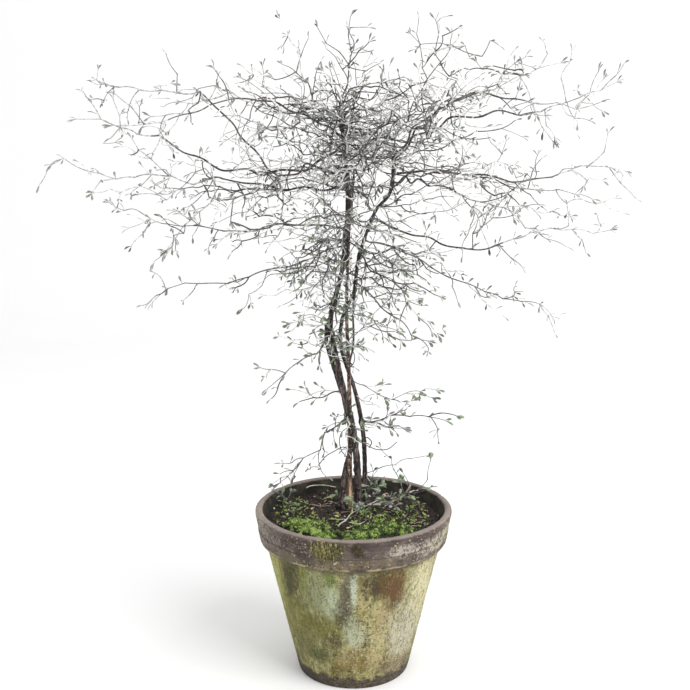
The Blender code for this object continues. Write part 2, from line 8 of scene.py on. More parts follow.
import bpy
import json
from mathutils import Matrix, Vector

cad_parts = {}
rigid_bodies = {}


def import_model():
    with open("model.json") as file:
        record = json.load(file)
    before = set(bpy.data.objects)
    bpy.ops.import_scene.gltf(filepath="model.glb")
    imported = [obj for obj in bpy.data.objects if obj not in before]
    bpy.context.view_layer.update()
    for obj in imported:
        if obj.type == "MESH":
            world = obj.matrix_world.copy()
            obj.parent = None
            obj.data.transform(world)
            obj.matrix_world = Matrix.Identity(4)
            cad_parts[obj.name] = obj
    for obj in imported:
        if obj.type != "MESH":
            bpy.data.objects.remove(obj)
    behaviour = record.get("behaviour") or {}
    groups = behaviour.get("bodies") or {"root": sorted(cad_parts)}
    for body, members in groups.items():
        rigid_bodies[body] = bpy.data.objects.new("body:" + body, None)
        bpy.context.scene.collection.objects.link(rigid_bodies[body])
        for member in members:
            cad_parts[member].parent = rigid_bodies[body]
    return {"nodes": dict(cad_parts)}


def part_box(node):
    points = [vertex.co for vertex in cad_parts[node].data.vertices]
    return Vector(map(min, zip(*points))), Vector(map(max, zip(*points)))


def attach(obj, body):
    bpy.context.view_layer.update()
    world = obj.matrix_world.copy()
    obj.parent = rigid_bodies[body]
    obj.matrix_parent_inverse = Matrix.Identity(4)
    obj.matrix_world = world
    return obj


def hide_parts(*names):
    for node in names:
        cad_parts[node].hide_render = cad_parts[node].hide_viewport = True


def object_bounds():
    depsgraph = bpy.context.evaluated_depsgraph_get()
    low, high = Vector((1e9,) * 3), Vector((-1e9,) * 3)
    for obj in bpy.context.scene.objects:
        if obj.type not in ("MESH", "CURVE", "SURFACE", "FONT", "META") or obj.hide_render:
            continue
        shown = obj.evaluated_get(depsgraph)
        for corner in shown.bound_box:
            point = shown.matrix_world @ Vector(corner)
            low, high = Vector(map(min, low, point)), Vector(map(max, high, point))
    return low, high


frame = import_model()
cad_low, cad_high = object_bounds()
print("solids:", len(frame["nodes"]), "box in mm:", [round(v * 1000) for v in cad_high - cad_low])

# %% Blender's modules
import json
import math
import random

import bmesh
import bpy
import numpy as np
from mathutils import Matrix, Vector, noise

# %% [markdown]
# The camera stands as it did for the photograph: 1.3 m away, level with the middle of the crown and tilted
# down, so that the pot's rim shows as an open ellipse. A lens of 54 mm gives the same widening towards the
# edges.

# %% Camera
IMAGE_PIXELS = 690
FOCAL_PIXELS = 1026.65
SENSOR_MM = 36.0
CAMERA_PLACE = (-0.0112, -1.3, 0.6921)
CAMERA_TILT = 0.1906


def add_object(name, data):
    made = bpy.data.objects.new(name, data)
    bpy.context.scene.collection.objects.link(made)
    return made


camera_data = bpy.data.cameras.new("camera")
camera_data.sensor_width = SENSOR_MM
camera_data.lens = FOCAL_PIXELS / IMAGE_PIXELS * SENSOR_MM
camera = add_object("camera", camera_data)
camera.location = CAMERA_PLACE
camera.rotation_euler = (math.pi / 2 - CAMERA_TILT, 0, 0)
bpy.context.scene.camera = camera
bpy.context.scene.view_settings.view_transform = "Standard"
print("lens in mm:", round(camera_data.lens, 1))

# %% [markdown]
# Every finish here is a node material. A small class keeps the recipes short: each call adds a node or a
# few, so a recipe reads from the bare ground to the last speck that lies on it.


# %% A class for node materials
class Finish:
    """A material under way, with the colour that its layers have given so far."""

    def __init__(self, name, roughness):
        self.material = bpy.data.materials.new(name)
        self.material.use_nodes = True
        self.tree = self.material.node_tree
        self.shader = self.tree.nodes["Principled BSDF"]
        self.shader.inputs["Roughness"].default_value = roughness
        self.place = self.node("ShaderNodeTexCoord").outputs["Object"]
        self.colour = None

    def node(self, kind, inputs=None, **settings):
        made = self.tree.nodes.new(kind)
        for key, value in settings.items():
            setattr(made, key, value)
        for key, value in (inputs or {}).items():
            if isinstance(value, bpy.types.NodeSocket):
                self.tree.links.new(value, made.inputs[key])
            else:
                made.inputs[key].default_value = value
        return made

    def noise(self, scale, detail=3.0):
        """Cloudy noise. Three numbers as its scale stretch it."""
        where = self.place
        if isinstance(scale, tuple):
            where = self.node("ShaderNodeMapping", {"Vector": where, "Scale": scale}).outputs[0]
            scale = 1.0
        inputs = {"Vector": where, "Scale": scale, "Detail": detail, "Roughness": 0.6}
        return self.node("ShaderNodeTexNoise", inputs).outputs[0]

    def ramp(self, value, low, high):
        """0 under low, 1 over high, and smooth between them. With low over high it falls instead."""
        inputs = {"Value": value, "From Min": low, "From Max": high}
        return self.node("ShaderNodeMapRange", inputs, interpolation_type="SMOOTHSTEP").outputs[0]

    def mottle(self, scale, detail, low, high):
        return self.ramp(self.noise(scale, detail), low, high)

    def math(self, operation, a, b):
        return self.node("ShaderNodeMath", {0: a, 1: b}, operation=operation).outputs[0]

    def plus(self, a, b):
        return self.math("ADD", a, b)

    def times(self, a, b):
        return self.math("MULTIPLY", a, b)

    def axis(self, name):
        return self.node("ShaderNodeSeparateXYZ", {0: self.place}).outputs[name]

    def over(self, below, above, mask):
        inputs = {0: mask, 6: below, 7: above}
        for key in (6, 7):
            if isinstance(inputs[key], tuple):
                inputs[key] = (*inputs[key], 1.0)
        return self.node("ShaderNodeMix", inputs, data_type="RGBA").outputs[2]

    def ground(self, dark, light, mask):
        self.colour = self.over(dark, light, mask)

    def lay(self, colour, mask, share=None):
        """One more layer of colour where the mask is 1, which hides this share of what is below it."""
        self.colour = self.over(self.colour, colour, self.times(mask, share) if share else mask)

    def finish(self, height=None, depth=0.0005, strength=0.6):
        self.tree.links.new(self.colour, self.shader.inputs["Base Color"])
        if height is not None:
            bump = self.node("ShaderNodeBump", {"Height": height, "Distance": depth, "Strength": strength})
            self.tree.links.new(bump.outputs[0], self.shader.inputs["Normal"])
        return self.material


# Each skin: its detail, the run from dark to light, and the depth and strength of its relief
CRUMBLY_SKIN = (4.0, 0.38, 0.64, 0.0006, 0.7)
TWIG_SKIN = (3.0, 0.4, 0.6, 0.0002, 0.5)
LEAF_SKIN = (2.0, 0.38, 0.64, 0.00015, 0.4)


def mottled(name, dark, light, roughness=0.9, scale=300.0, skin=CRUMBLY_SKIN):
    """The plainest finish: two colours in small spots, which stand up a little."""
    look = Finish(name, roughness)
    spots = look.mottle(scale, *skin[:3])
    look.ground(dark, light, spots)
    return look.finish(spots, *skin[3:])


# %% [markdown]
# The plant stands on a pale sweep of paper, as in a studio: a floor that curves up behind it without a
# corner. A white sky lights it evenly from all round, and one large soft lamp from the upper right gives
# the pot its shape. The photograph has no hard shadow anywhere.

# %% Floor and light
SWEEP_WIDTH = 18.0
SWEEP_FRONT = -9.0
SWEEP_BEND = 2.2
SWEEP_RADIUS = 1.5
SWEEP_TOP = 5.0
BEND_STEPS = 24
SKY_STRENGTH = 0.89
LAMP_PLACE = Vector((1.9, -1.6, 2.4))
LAMP_AIM = Vector((0, 0, 0.4))
LAMP_SIZE = 2.2
LAMP_WATTS = 84


def as_array(points):
    return np.array([tuple(p) for p in points])


def mesh_of(name, points, faces, zones=None):
    """A mesh of these points and faces. The zones say which of its materials each face has."""
    mesh = bpy.data.meshes.new(name)
    mesh.from_pydata(as_array(points).tolist(), [], faces)
    if zones is not None:
        mesh.polygons.foreach_set("material_index", zones)
    return mesh


outline = [(SWEEP_FRONT, 0.0)]
for k in range(BEND_STEPS + 1):
    turn = k / BEND_STEPS * math.pi / 2
    outline.append((SWEEP_BEND + SWEEP_RADIUS * math.sin(turn), SWEEP_RADIUS * (1 - math.cos(turn))))
outline.append((SWEEP_BEND + SWEEP_RADIUS, SWEEP_TOP))
sides = [[(x, y, z) for y, z in outline] for x in (-SWEEP_WIDTH / 2, SWEEP_WIDTH / 2)]
count = len(outline)
sweep_faces = [(k, k + count, k + count + 1, k + 1) for k in range(count - 1)]
sweep_mesh = mesh_of("floor", sides[0] + sides[1], sweep_faces)
sweep_mesh.shade_smooth()
floor = add_object("floor", sweep_mesh)
paper = Finish("paper", 0.9)
paper.ground((0.92, 0.92, 0.92), (0.95, 0.95, 0.95), paper.noise(3.0))
sweep_mesh.materials.append(paper.finish())

world = bpy.data.worlds.new("white_sky")
world.use_nodes = True
sky = world.node_tree.nodes["Background"].inputs
sky["Color"].default_value = (1, 1, 1, 1)
sky["Strength"].default_value = SKY_STRENGTH
bpy.context.scene.world = world

lamp_data = bpy.data.lights.new("key", "AREA")
lamp_data.size = LAMP_SIZE
lamp_data.energy = LAMP_WATTS
lamp = add_object("key", lamp_data)
lamp.location = LAMP_PLACE
lamp.rotation_euler = (LAMP_AIM - LAMP_PLACE).to_track_quat("-Z", "Y").to_euler()
print("lamp, watts:", LAMP_WATTS)

# %% [markdown]
# Sizes. The pot, the stems, the boughs and the masses of twigs are given as a gardener would note them
# down: where a limb leaves its parent, and the bearing, reach and height of its tip. They are the same
# values that the solids were grown from, so the rule below finds the lines of the solids again.

# %% Sizes of the pot and the soil
RIM_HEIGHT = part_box("pot")[1].z
RIM_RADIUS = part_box("pot")[1].x
MOUTH_RADIUS = 0.1208
BAND_FOOT_RADIUS = 0.1228
BAND_FOOT_HEIGHT = 0.182
NECK_RADIUS = 0.1168
BASE_RADIUS = 0.0742
FLOOR_THICKNESS = 0.012
FLOOR_INNER_RADIUS = 0.064
MOUND_HEIGHT = 0.215
SOIL_EDGE_HEIGHT = 0.2065
MOUND_RADIUS = 0.036
print("pot in mm:", round(RIM_RADIUS * 2000), "across,", round(RIM_HEIGHT * 1000), "high")

# %% The stems
GAP = 0.0003
STEM_FOOT_RUN = 0.004
FLARE_SHARE = 0.42
FLARE_HEIGHT = 0.012
STEM_SAMPLES = 19


def metres(values):
    return [value / 1000 for value in values]


def in_metres(points):
    """Points that were noted in mm, as vectors in metres."""
    return [Vector(metres(point)) for point in points]


# Each stem in mm: radius at the foot, radius at the tip, bark, and the bends that its middle line goes
# through. The first bend is where it comes out of the mound.
STEM_NOTES = {
    "stem_main": (4.5, 2.6, "dark_bark", (
        (7, 23, 215), (3, 16, 295), (-12, 12, 370), (-28, 19, 447), (-28, 20, 486), (-14, 19, 543),
        (-8, 17, 640), (-17, 15, 738))),
    "stem_straight": (3, 2.1, "red_bark", (
        (-5, 21, 215), (-5, 23, 325), (-6, 21, 400), (-9, 13, 500), (-4, 4, 640))),
    "stem_right": (2.9, 2.3, "dark_bark", (
        (16, 34, 215), (14, 30, 308), (3, 31, 370), (-16, 30, 430), (-15, 30, 470), (0, 26, 506),
        (7, 24, 553), (27, 20, 610), (47, 16, 638), (51, 14, 694))),
    "stem_left": (3.1, 2.1, "dark_bark", (
        (-16, 14, 215), (-12, 24, 260), (0, 36, 320), (-20, 28, 385), (-36, 23, 450), (-24, 34, 492),
        (-8, 37, 570), (0, 35, 655))),
}
STEMS = {name: (*metres([foot, tip]), bark, in_metres(bends))
         for name, (foot, tip, bark, bends) in STEM_NOTES.items()}

# %% The boughs
MAIN, STRAIGHT, RIGHT, LEFT = STEMS
BOUGH_FOOT_RUN = 0.006
BOUGH_NODE = 0.026
BOUGH_WAVE = 0.0048
BOUGH_TIP_RADIUS = 0.0013

# Each bough, in mm and degrees: the limb it leaves and where (a height on a stem, a distance from the pot's
# axis on a bough), its tip's bearing, reach and height, how far it dips on the way, and its foot's radius
BOUGH_NOTES = {
    "bough_left": (MAIN, 686, 180, 235, 702, 34, 2.5),
    "bough_left_upper": ("bough_left", 105, 168, 195, 757, -4, 1.7),
    "bough_left_mid": (MAIN, 642, 187, 165, 654, 6, 2.1),
    "bough_front_left_upper": (MAIN, 704, 221, 140, 744, -6, 2.1),
    "bough_back_left_upper": (MAIN, 716, 132, 145, 757, -6, 2),
    "bough_front_left": (MAIN, 660, 232, 135, 660, -8, 2.1),
    "bough_back_left": (MAIN, 652, 124, 150, 660, -8, 2.1),
    "bough_right_upper": (RIGHT, 686, 1, 200, 732, -16, 2.2),
    "bough_right": (RIGHT, 660, 357, 190, 651, -6, 2.2),
    "bough_right_low": (RIGHT, 602, 356, 140, 567, 4, 2),
    "bough_front_right_upper": (RIGHT, 676, 316, 145, 738, -6, 2),
    "bough_back_right_upper": (RIGHT, 680, 38, 150, 750, -6, 2),
    "bough_front_right": (RIGHT, 648, 306, 140, 650, -6, 2),
    "bough_back_right": (RIGHT, 642, 48, 150, 656, -6, 2),
}
BOUGHS = {name: (parent, place_on / 1000, bearing, *metres(lengths))
          for name, (parent, place_on, bearing, *lengths) in BOUGH_NOTES.items()}

# %% The masses of twigs and leaves
# Each mass, in mm and degrees: the limb it grows from and where (None is the limb's tip), the bearing, reach
# and height of its furthest tip, how far its twigs spread from the line to that tip, and how many side
# shoots and first leaves it has at most
MASS_NOTES = {
    "crown_top": (MAIN, None, 100, 14, 866, 55, 6, 7),
    "crown_top_left": (MAIN, 728, 190, 100, 800, 55, 6, 6),
    "crown_top_right": (RIGHT, None, 8, 130, 843, 60, 6, 6),
    "crown_top_front": (MAIN, 722, 275, 130, 760, 55, 6, 6),
    "crown_top_back": (MAIN, 732, 84, 165, 785, 60, 6, 6),
    "crown_front_upper": (STRAIGHT, None, 288, 140, 712, 55, 6, 6),
    "crown_front": (STRAIGHT, 600, 262, 230, 636, 60, 7, 7),
    "crown_back": (LEFT, None, 96, 190, 712, 55, 7, 6),
    "crown_front_left": (MAIN, 580, 230, 125, 530, 50, 6, 7),
    "crown_front_right": (RIGHT, 556, 302, 125, 520, 50, 6, 7),
    "spray_right_upper": ("bough_right_upper", None, 3, 343, 776, 55, 6, 6),
    "spray_right_high": ("bough_back_right_upper", None, 24, 322, 808, 60, 5, 6),
    "spray_back_right_upper": ("bough_back_right_upper", 105, 64, 300, 762, 60, 5, 6),
    "spray_back_upper": ("bough_back_left_upper", 90, 104, 350, 765, 60, 5, 6),
    "spray_back_left_upper": ("bough_back_left_upper", None, 140, 340, 755, 60, 5, 6),
    "spray_left_upper": ("bough_left_upper", None, 168, 362, 776, 55, 5, 6),
    "spray_left": ("bough_left", None, 181, 364, 742, 50, 5, 6),
    "spray_front_left_upper": ("bough_front_left_upper", None, 214, 330, 712, 60, 5, 6),
    "spray_front_upper": ("bough_front_left_upper", 80, 252, 330, 715, 60, 6, 6),
    "spray_front_right_high": ("bough_front_right_upper", 85, 288, 250, 735, 60, 6, 6),
    "spray_front_right_upper": ("bough_front_right_upper", None, 324, 335, 738, 60, 5, 6),
    "spray_right": ("bough_right", None, 359, 353, 664, 52, 6, 6),
    "spray_back_right": ("bough_back_right", None, 42, 335, 668, 60, 6, 6),
    "spray_back_left": ("bough_back_left", None, 118, 330, 664, 60, 6, 6),
    "spray_left_back": ("bough_left_mid", 85, 158, 330, 628, 60, 6, 6),
    "spray_left_mid": ("bough_left_mid", None, 184, 386, 672, 55, 6, 7),
    "spray_front_left": ("bough_front_left", None, 228, 300, 622, 60, 6, 6),
    "spray_front_right": ("bough_front_right", None, 306, 300, 622, 60, 6, 6),
    "spray_right_front": ("bough_right", 90, 336, 310, 632, 55, 6, 6),
    "spray_right_low": ("bough_right_low", None, 2, 342, 590, 45, 6, 6),
    "spray_left_low": (MAIN, 590, 176, 315, 600, 50, 7, 7),
    "spray_left_lowest": (MAIN, 568, 191, 268, 500, 45, 6, 7),
    "spray_right_lowest": (RIGHT, 575, 350, 264, 480, 45, 6, 7),
    "spray_back_low": (LEFT, 550, 92, 190, 530, 55, 6, 6),
    "shoot_trunk_right": (RIGHT, 520, 350, 108, 440, 36, 6, 8),
    "shoot_trunk_left": (MAIN, 452, 192, 124, 380, 30, 5, 7),
    "shoot_low_right": (RIGHT, 330, 354, 134, 345, 30, 6, 8),
    "shoot_low_left": (MAIN, 346, 196, 92, 262, 36, 6, 8),
    "shoot_at_soil": (RIGHT, 222, 345, 116, 262, 22, 4, 6),
}
MASSES = {name: (parent, place_on and place_on / 1000, bearing, *metres(lengths), shoots, leaves)
          for name, (parent, place_on, bearing, *lengths, shoots, leaves) in MASS_NOTES.items()}
print("stems, boughs, masses:", len(STEMS), len(BOUGHS), len(MASSES))

# %% [markdown]
# A limb is a middle line with a radius at each of its points. A stem follows a smooth curve through its
# bends. A bough swings from side to side at its nodes. Both are worked out here by the rule of the solids,
# with the same seed, so they fall in the same place.

# %% Lines of the limbs
SEED = 7
UP = Vector((0, 0, 1))
SEAT_STEP = 0.0001
BOUGH_SWINGS = (0.5, 1.3)
BOUGH_SHIFT = 0.2
BOUGH_TWIST = 0.7


def polar(turn, reach, height=0.0):
    return Vector((reach * math.cos(turn), reach * math.sin(turn), height))


def place(bearing, reach, height):
    return polar(math.radians(bearing), reach, height)


def reach_of(point):
    """How far a point is from the pot's axis."""
    return math.hypot(point.x, point.y)


def any_turn(draw):
    return draw.uniform(0, math.tau)


def smooth_path(bends, samples):
    """Points along a curve through the bends, which leaves the first of them straight upwards."""
    lead_in = bends[0] - UP * (bends[1] - bends[0]).length
    ends = [lead_in, *bends, bends[-1] * 2 - bends[-2]]
    spans = len(bends) - 1
    points = []
    for k in range(samples + 1):
        place_on = k / samples * spans
        i = min(int(place_on), spans - 1)
        t = place_on - i
        a, b, c, d = ends[i:i + 4]
        points.append(0.5 * (2 * b + (c - a) * t + (2 * a - 5 * b + 4 * c - d) * t ** 2
                             + (3 * b - a - 3 * c + d) * t ** 3))
    return points


def square_to(direction, turn):
    """A unit vector at right angles to a direction, turned round it by an angle."""
    rough = UP if abs(direction.z) < 0.9 else Vector((1, 0, 0))
    side = direction.cross(rough).normalized()
    return math.cos(turn) * side + math.sin(turn) * direction.cross(side).normalized()


def leaning(along, opens, turn):
    """A direction that opens from another by an angle. The turn says to which side."""
    return math.cos(opens) * along + math.sin(opens) * square_to(along, turn)


def to_segments(point, starts, ends):
    """Distances from one point to each of many segments."""
    point = np.array(tuple(point))
    along = ends - starts
    share = ((point - starts) * along).sum(axis=1) / np.maximum((along * along).sum(axis=1), 1e-12)
    nearest = starts + np.clip(share, 0, 1)[:, None] * along
    return np.linalg.norm(nearest - point, axis=1)


class Limb:
    def __init__(self, points, radii, is_stem):
        self.points, self.radii, self.is_stem = points, radii, is_stem
        line = as_array(points)
        self.starts, self.ends = line[:-1], line[1:]
        self.thickness = np.array(radii[:-1])

    def leave_at(self, place_on):
        """The point, its radius and the limb's direction, at a height on a stem or a reach on a bough."""
        def measure(p):
            return p.z if self.is_stem else reach_of(p)
        for a, b, r in zip(self.points, self.points[1:], self.radii):
            if measure(a) <= place_on <= measure(b):
                share = (place_on - measure(a)) / (measure(b) - measure(a))
                return a.lerp(b, share), r, (b - a).normalized()
        raise ValueError(f"the limb doesn't reach {place_on}")

    def clearance(self, point):
        return (to_segments(point, self.starts, self.ends) - self.thickness).min()


def seat_on(limb, place_on, goal, radius):
    """Where a side shoot of this radius starts, so that its end face just clears the limb it grows from."""
    middle, limb_radius, _ = limb.leave_at(place_on)
    heading = (goal - middle).normalized()
    out = limb_radius
    while True:
        start = middle + heading * out
        rim = [start + square_to(heading, k * math.pi / 6) * radius for k in range(12)]
        if min(limb.clearance(p) for p in rim) >= GAP:
            return start, heading
        out += SEAT_STEP


def stem_limb(bends, foot_radius, tip_radius, samples):
    foot = bends[0] + UP * GAP
    line = [foot, *smooth_path([foot + UP * STEM_FOOT_RUN, *bends[1:]], samples)]
    height = line[-1].z - foot.z
    radii = []
    for p in line:
        share = (p.z - foot.z) / height
        flare = 1 + FLARE_SHARE * math.exp(-(p.z - foot.z) / FLARE_HEIGHT)
        radii.append((foot_radius + (tip_radius - foot_radius) * share) * flare)
    return Limb(line, radii, True)


def bough_limb(name, limbs):
    parent, place_on, bearing, reach, height, dip, foot_radius = BOUGHS[name]
    draw = random.Random(f"{SEED} {name}")
    tip = place(bearing, reach, height)
    start, heading = seat_on(limbs[parent], place_on, tip, foot_radius)
    nodes = max(4, round((tip - start).length / BOUGH_NODE))
    turn = any_turn(draw)
    line = [start, start + heading * BOUGH_FOOT_RUN]
    for k in range(1, nodes):
        share = k / nodes
        swing = BOUGH_WAVE * draw.uniform(*BOUGH_SWINGS) * (-1) ** k * math.sin(math.pi * share) ** 0.5
        middle = start.lerp(tip, share + draw.uniform(-BOUGH_SHIFT, BOUGH_SHIFT) / nodes)
        middle.z -= 4 * dip * share * (1 - share)
        line.append(middle + square_to(heading, turn) * swing)
        turn += draw.uniform(-BOUGH_TWIST, BOUGH_TWIST)
    line.append(tip)
    steps = len(line) - 1
    radii = [foot_radius + (BOUGH_TIP_RADIUS - foot_radius) * k / steps for k in range(steps + 1)]
    return Limb(line, radii, False)


limbs = {}
for name, (foot_radius, tip_radius, _, bends) in STEMS.items():
    limbs[name] = stem_limb(bends, foot_radius, tip_radius, STEM_SAMPLES)
for name in BOUGHS:
    limbs[name] = bough_limb(name, limbs)

wood_starts = np.concatenate([limb.starts for limb in limbs.values()])
wood_ends = np.concatenate([limb.ends for limb in limbs.values()])
wood_radii = np.concatenate([limb.thickness for limb in limbs.values()])
wood_owner = np.concatenate([[name] * len(limb.starts) for name, limb in limbs.items()])


def off_the_wood(point, skip=None):
    """How far a point is outside every limb but one."""
    gaps = to_segments(point, wood_starts, wood_ends) - wood_radii
    if skip:
        gaps = gaps[wood_owner != skip]
    return gaps.min()


drift = max((limbs[name].points[-1] - place(*BOUGHS[name][2:5])).length for name in BOUGHS)
print("limbs:", len(limbs), "furthest bough tip from its mark in mm:", round(drift * 1000, 3))

# %% [markdown]
# Bark. The stems are young wood with shallow flutes that wind round them, small knots where side shoots
# leave, and a rough skin. A plain tube would look like plastic when the camera comes close, so each limb is
# a ring of points carried along its line, and the radius of every point is worked out from its place:
# flutes, knots, buds and roughness. That is cheaper than carving a mesh, and it stays sharp close up.

# %% Limbs with bark in relief
FLUTE_DEPTH = 0.18
# Flutes round the limb, and how fast each set winds round it
FLUTES = ((3, 23.0), (5, -31.0))
ROUGH_DEPTH = 0.2
KNOT_SHARE = 0.42
KNOT_LENGTH = 0.0036
BUD_SPACING = 0.021
BUD_SHARE = 0.3
BUD_PLACES = (0.1, 0.9)
BUD_HEIGHTS = (0.4, 1.0)
BUD_LENGTH = KNOT_LENGTH / 1.6
# How fine the roughness is round the limb and along it
ROUGH_ROUND = 1.6
ROUGH_ALONG = 260
CLEFT_DEPTH = 0.42
CLEFT_RISE = 0.14
CLEFT_END = 0.015
CLEFT_WIDTH = 0.07
CLEFTS = {MAIN: (0.3, 0.445)}
SINK = 0.004
BRANCH_SHARE = 0.6


def ring_frames(line):
    """The line's direction at each of its points and two directions square to it, which turn little."""
    along = np.gradient(line, axis=0)
    along /= np.linalg.norm(along, axis=1)[:, None]
    side = np.zeros_like(along)
    first = np.cross(along[0], (0.0, 1.0, 0.0))
    side[0] = first / np.linalg.norm(first)
    for k in range(1, len(line)):
        kept = side[k - 1] - along[k] * side[k - 1].dot(along[k])
        side[k] = kept / np.linalg.norm(kept)
    return along, side, np.cross(along, side)


def faces_from(first, sides):
    """Faces from a ring of points, which starts with the first one, to the ring after it."""
    faces = []
    for j in range(sides):
        n = (j + 1) % sides
        faces.append((first + j, first + n, first + sides + n, first + sides + j))
    return faces


def ring_faces(rings, sides):
    faces = []
    for k in range(rings - 1):
        faces += faces_from(k * sides, sides)
    faces.append(tuple(reversed(range(sides))))
    faces.append(tuple(range((rings - 1) * sides, rings * sides)))
    return faces


def new_piece(name, mesh, slot, materials, replaces=()):
    """A piece of the plant: smooth, riding with the pot, and named for what it stands for."""
    mesh.shade_smooth()
    made = add_object(name, mesh)
    for one in materials:
        mesh.materials.append(one)
    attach(made, "root")
    if replaces:
        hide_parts(*replaces)
    return made


def triangles(piece):
    return sum(len(p.vertices) - 2 for p in piece.data.polygons)


def barked(line, radii, sides, knots, seed, cleft=None):
    """Points and faces of a limb with flutes, knots, buds, a rough skin and perhaps a cleft in front."""
    rings = len(line)
    _, side, other = ring_frames(line)
    turns = np.arange(sides) / sides * math.tau
    length = np.concatenate([[0], np.cumsum(np.linalg.norm(np.diff(line, axis=0), axis=1))])
    relief = np.ones((rings, sides))
    for flutes, wander in FLUTES:
        relief += FLUTE_DEPTH / 2 * np.cos(flutes * turns[None, :] + wander * length[:, None] + seed)
    for knot in knots:
        away = np.linalg.norm(line - np.array(tuple(knot)), axis=1)
        relief += KNOT_SHARE * np.exp(-(away / KNOT_LENGTH) ** 2)[:, None]
    bud_draw = random.Random(f"{SEED} buds {seed:.1f}")
    for k in range(int(length[-1] / BUD_SPACING)):
        middle = (k + bud_draw.uniform(*BUD_PLACES)) * BUD_SPACING
        along = np.exp(-((length - middle) / BUD_LENGTH) ** 2)
        towards = np.exp(2.0 * (np.cos(turns - any_turn(bud_draw)) - 1))
        relief += BUD_SHARE * bud_draw.uniform(*BUD_HEIGHTS) * along[:, None] * towards[None, :]
    for j, turn in enumerate(turns):
        x, y = math.cos(turn) * ROUGH_ROUND, math.sin(turn) * ROUGH_ROUND + seed
        for k in range(rings):
            relief[k, j] += ROUGH_DEPTH * noise.noise(Vector((x, y, length[k] * ROUGH_ALONG)))
    cosines, sines = np.cos(turns)[None, :, None], np.sin(turns)[None, :, None]
    around = cosines * side[:, None, :] + sines * other[:, None, :]
    if cleft:
        low, high = cleft
        above, below = (line[:, 2] - low) / CLEFT_END, (high - line[:, 2]) / CLEFT_END
        runs = np.clip(above, 0, 1) * np.clip(below, 0, 1)
        faces_front = -around[:, :, 1]
        relief += runs[:, None] * (CLEFT_RISE - CLEFT_DEPTH * np.exp(-((faces_front - 1) / CLEFT_WIDTH) ** 2))
    points = line[:, None, :] + around * (radii[:, None] * relief)[:, :, None]
    return points.reshape(-1, 3), ring_faces(rings, sides)


# %% Finish of the bark
def bark_finish(name, dark, light, fleck, fleck_share, by_height=()):
    """Bark streaked along the stem, with pale flecks. Its colours may change over a range of heights."""
    bark = Finish(name, 0.8)
    streaks = bark.mottle((330, 330, 46), 4.0, 0.42, 0.6)
    flecks = bark.mottle((430, 430, 170), 3.0, 0.66 - fleck_share, 0.72 - fleck_share)
    bark.ground(dark, light, streaks)
    bark.lay(dark, bark.mottle(90.0, 4.0, 0.46, 0.62))
    for low, high, dark_there, light_there in by_height:
        bark.lay(bark.over(dark_there, light_there, streaks), bark.ramp(bark.axis("Z"), low, high))
    bark.lay(fleck, flecks)
    return bark.finish(bark.plus(streaks, bark.times(flecks, 0.6)), 0.0004, 0.7)


# Each bark: dark, light and fleck colour, the share of flecks, and where it changes: from one height to
# another, and the dark and light colour there
BARK_COLOURS = (
    ("dark_bark", (0.012, 0.009, 0.009), (0.125, 0.088, 0.082), (0.34, 0.29, 0.27), 0.03,
     ((0.48, 0.56, (0.009, 0.007, 0.007), (0.095, 0.076, 0.074)),)),
    ("red_bark", (0.05, 0.027, 0.02), (0.28, 0.172, 0.124), (0.6, 0.5, 0.41), 0.07,
     ((0.455, 0.525, (0.012, 0.009, 0.009), (0.11, 0.08, 0.074)),
      (0.262, 0.235, (0.2, 0.115, 0.065), (0.62, 0.43, 0.29)))),
    ("grey_bark", (0.016, 0.013, 0.014), (0.14, 0.12, 0.118), (0.34, 0.32, 0.31), 0.03),
)
BARKS = {look[0]: bark_finish(*look) for look in BARK_COLOURS}

# %% Stems and boughs
# How thick the stems are drawn: two heights, and the share of the solid's radius at each
STEM_DRAWN = ((0.22, 0.52), (1.12, 0.82))
STEM_RINGS = 320
STEM_SIDES = 22
BOUGH_RINGS = 90
BOUGH_SIDES = 12
BOUGH_DRAWN = 0.7
STEM_SEEDS = 1.7
BOUGH_SEEDS = 2.3

leaving = {name: [] for name in limbs}
for table in (BOUGHS, MASSES):
    for parent, place_on, *_ in table.values():
        if place_on is not None:
            leaving[parent].append(limbs[parent].leave_at(place_on)[0])


def sunk(line):
    """The same line, but started a little way inside the limb that it grows from."""
    return [line[0] - (line[1] - line[0]).normalized() * SINK * BRANCH_SHARE, *line[1:]]


def limb_piece(name, line, radii, sides, slot, seed):
    mesh = mesh_of(name, *barked(line, radii, sides, leaving[name], seed, CLEFTS.get(name)))
    return new_piece(name + "_bark", mesh, slot, [BARKS[slot]], [name])


for seed, (name, (foot_radius, tip_radius, slot, bends)) in enumerate(STEMS.items()):
    fine = stem_limb(bends, foot_radius, tip_radius, STEM_RINGS)
    line = as_array(fine.points)
    line[0, 2] -= SINK
    radii = np.array(fine.radii) * np.interp(line[:, 2], *STEM_DRAWN)
    limb_piece(name, line, radii, STEM_SIDES, slot, seed * STEM_SEEDS)

for seed, name in enumerate(BOUGHS):
    limb = limbs[name]
    line = as_array(smooth_path(sunk(limb.points), BOUGH_RINGS))
    radii = BOUGH_DRAWN * np.interp(np.linspace(0, 1, len(line)), (0, 1), (limb.radii[0], limb.radii[-1]))
    limb_piece(name, line, radii, BOUGH_SIDES, "grey_bark", seed * BOUGH_SEEDS)
print("barked limbs:", len(limbs))

# %% [markdown]
# Twigs. A corokia twig runs straight for about 3 cm to a bud, turns there to the other side and forks. Each
# mass is grown by that rule: a leader to the mass's furthest tip, side shoots, and leaves. It is the same
# rule, with the same draws, as in the solids. A twig that would leave the mass's own space or touch a limb
# is not grown, which keeps the crown open.

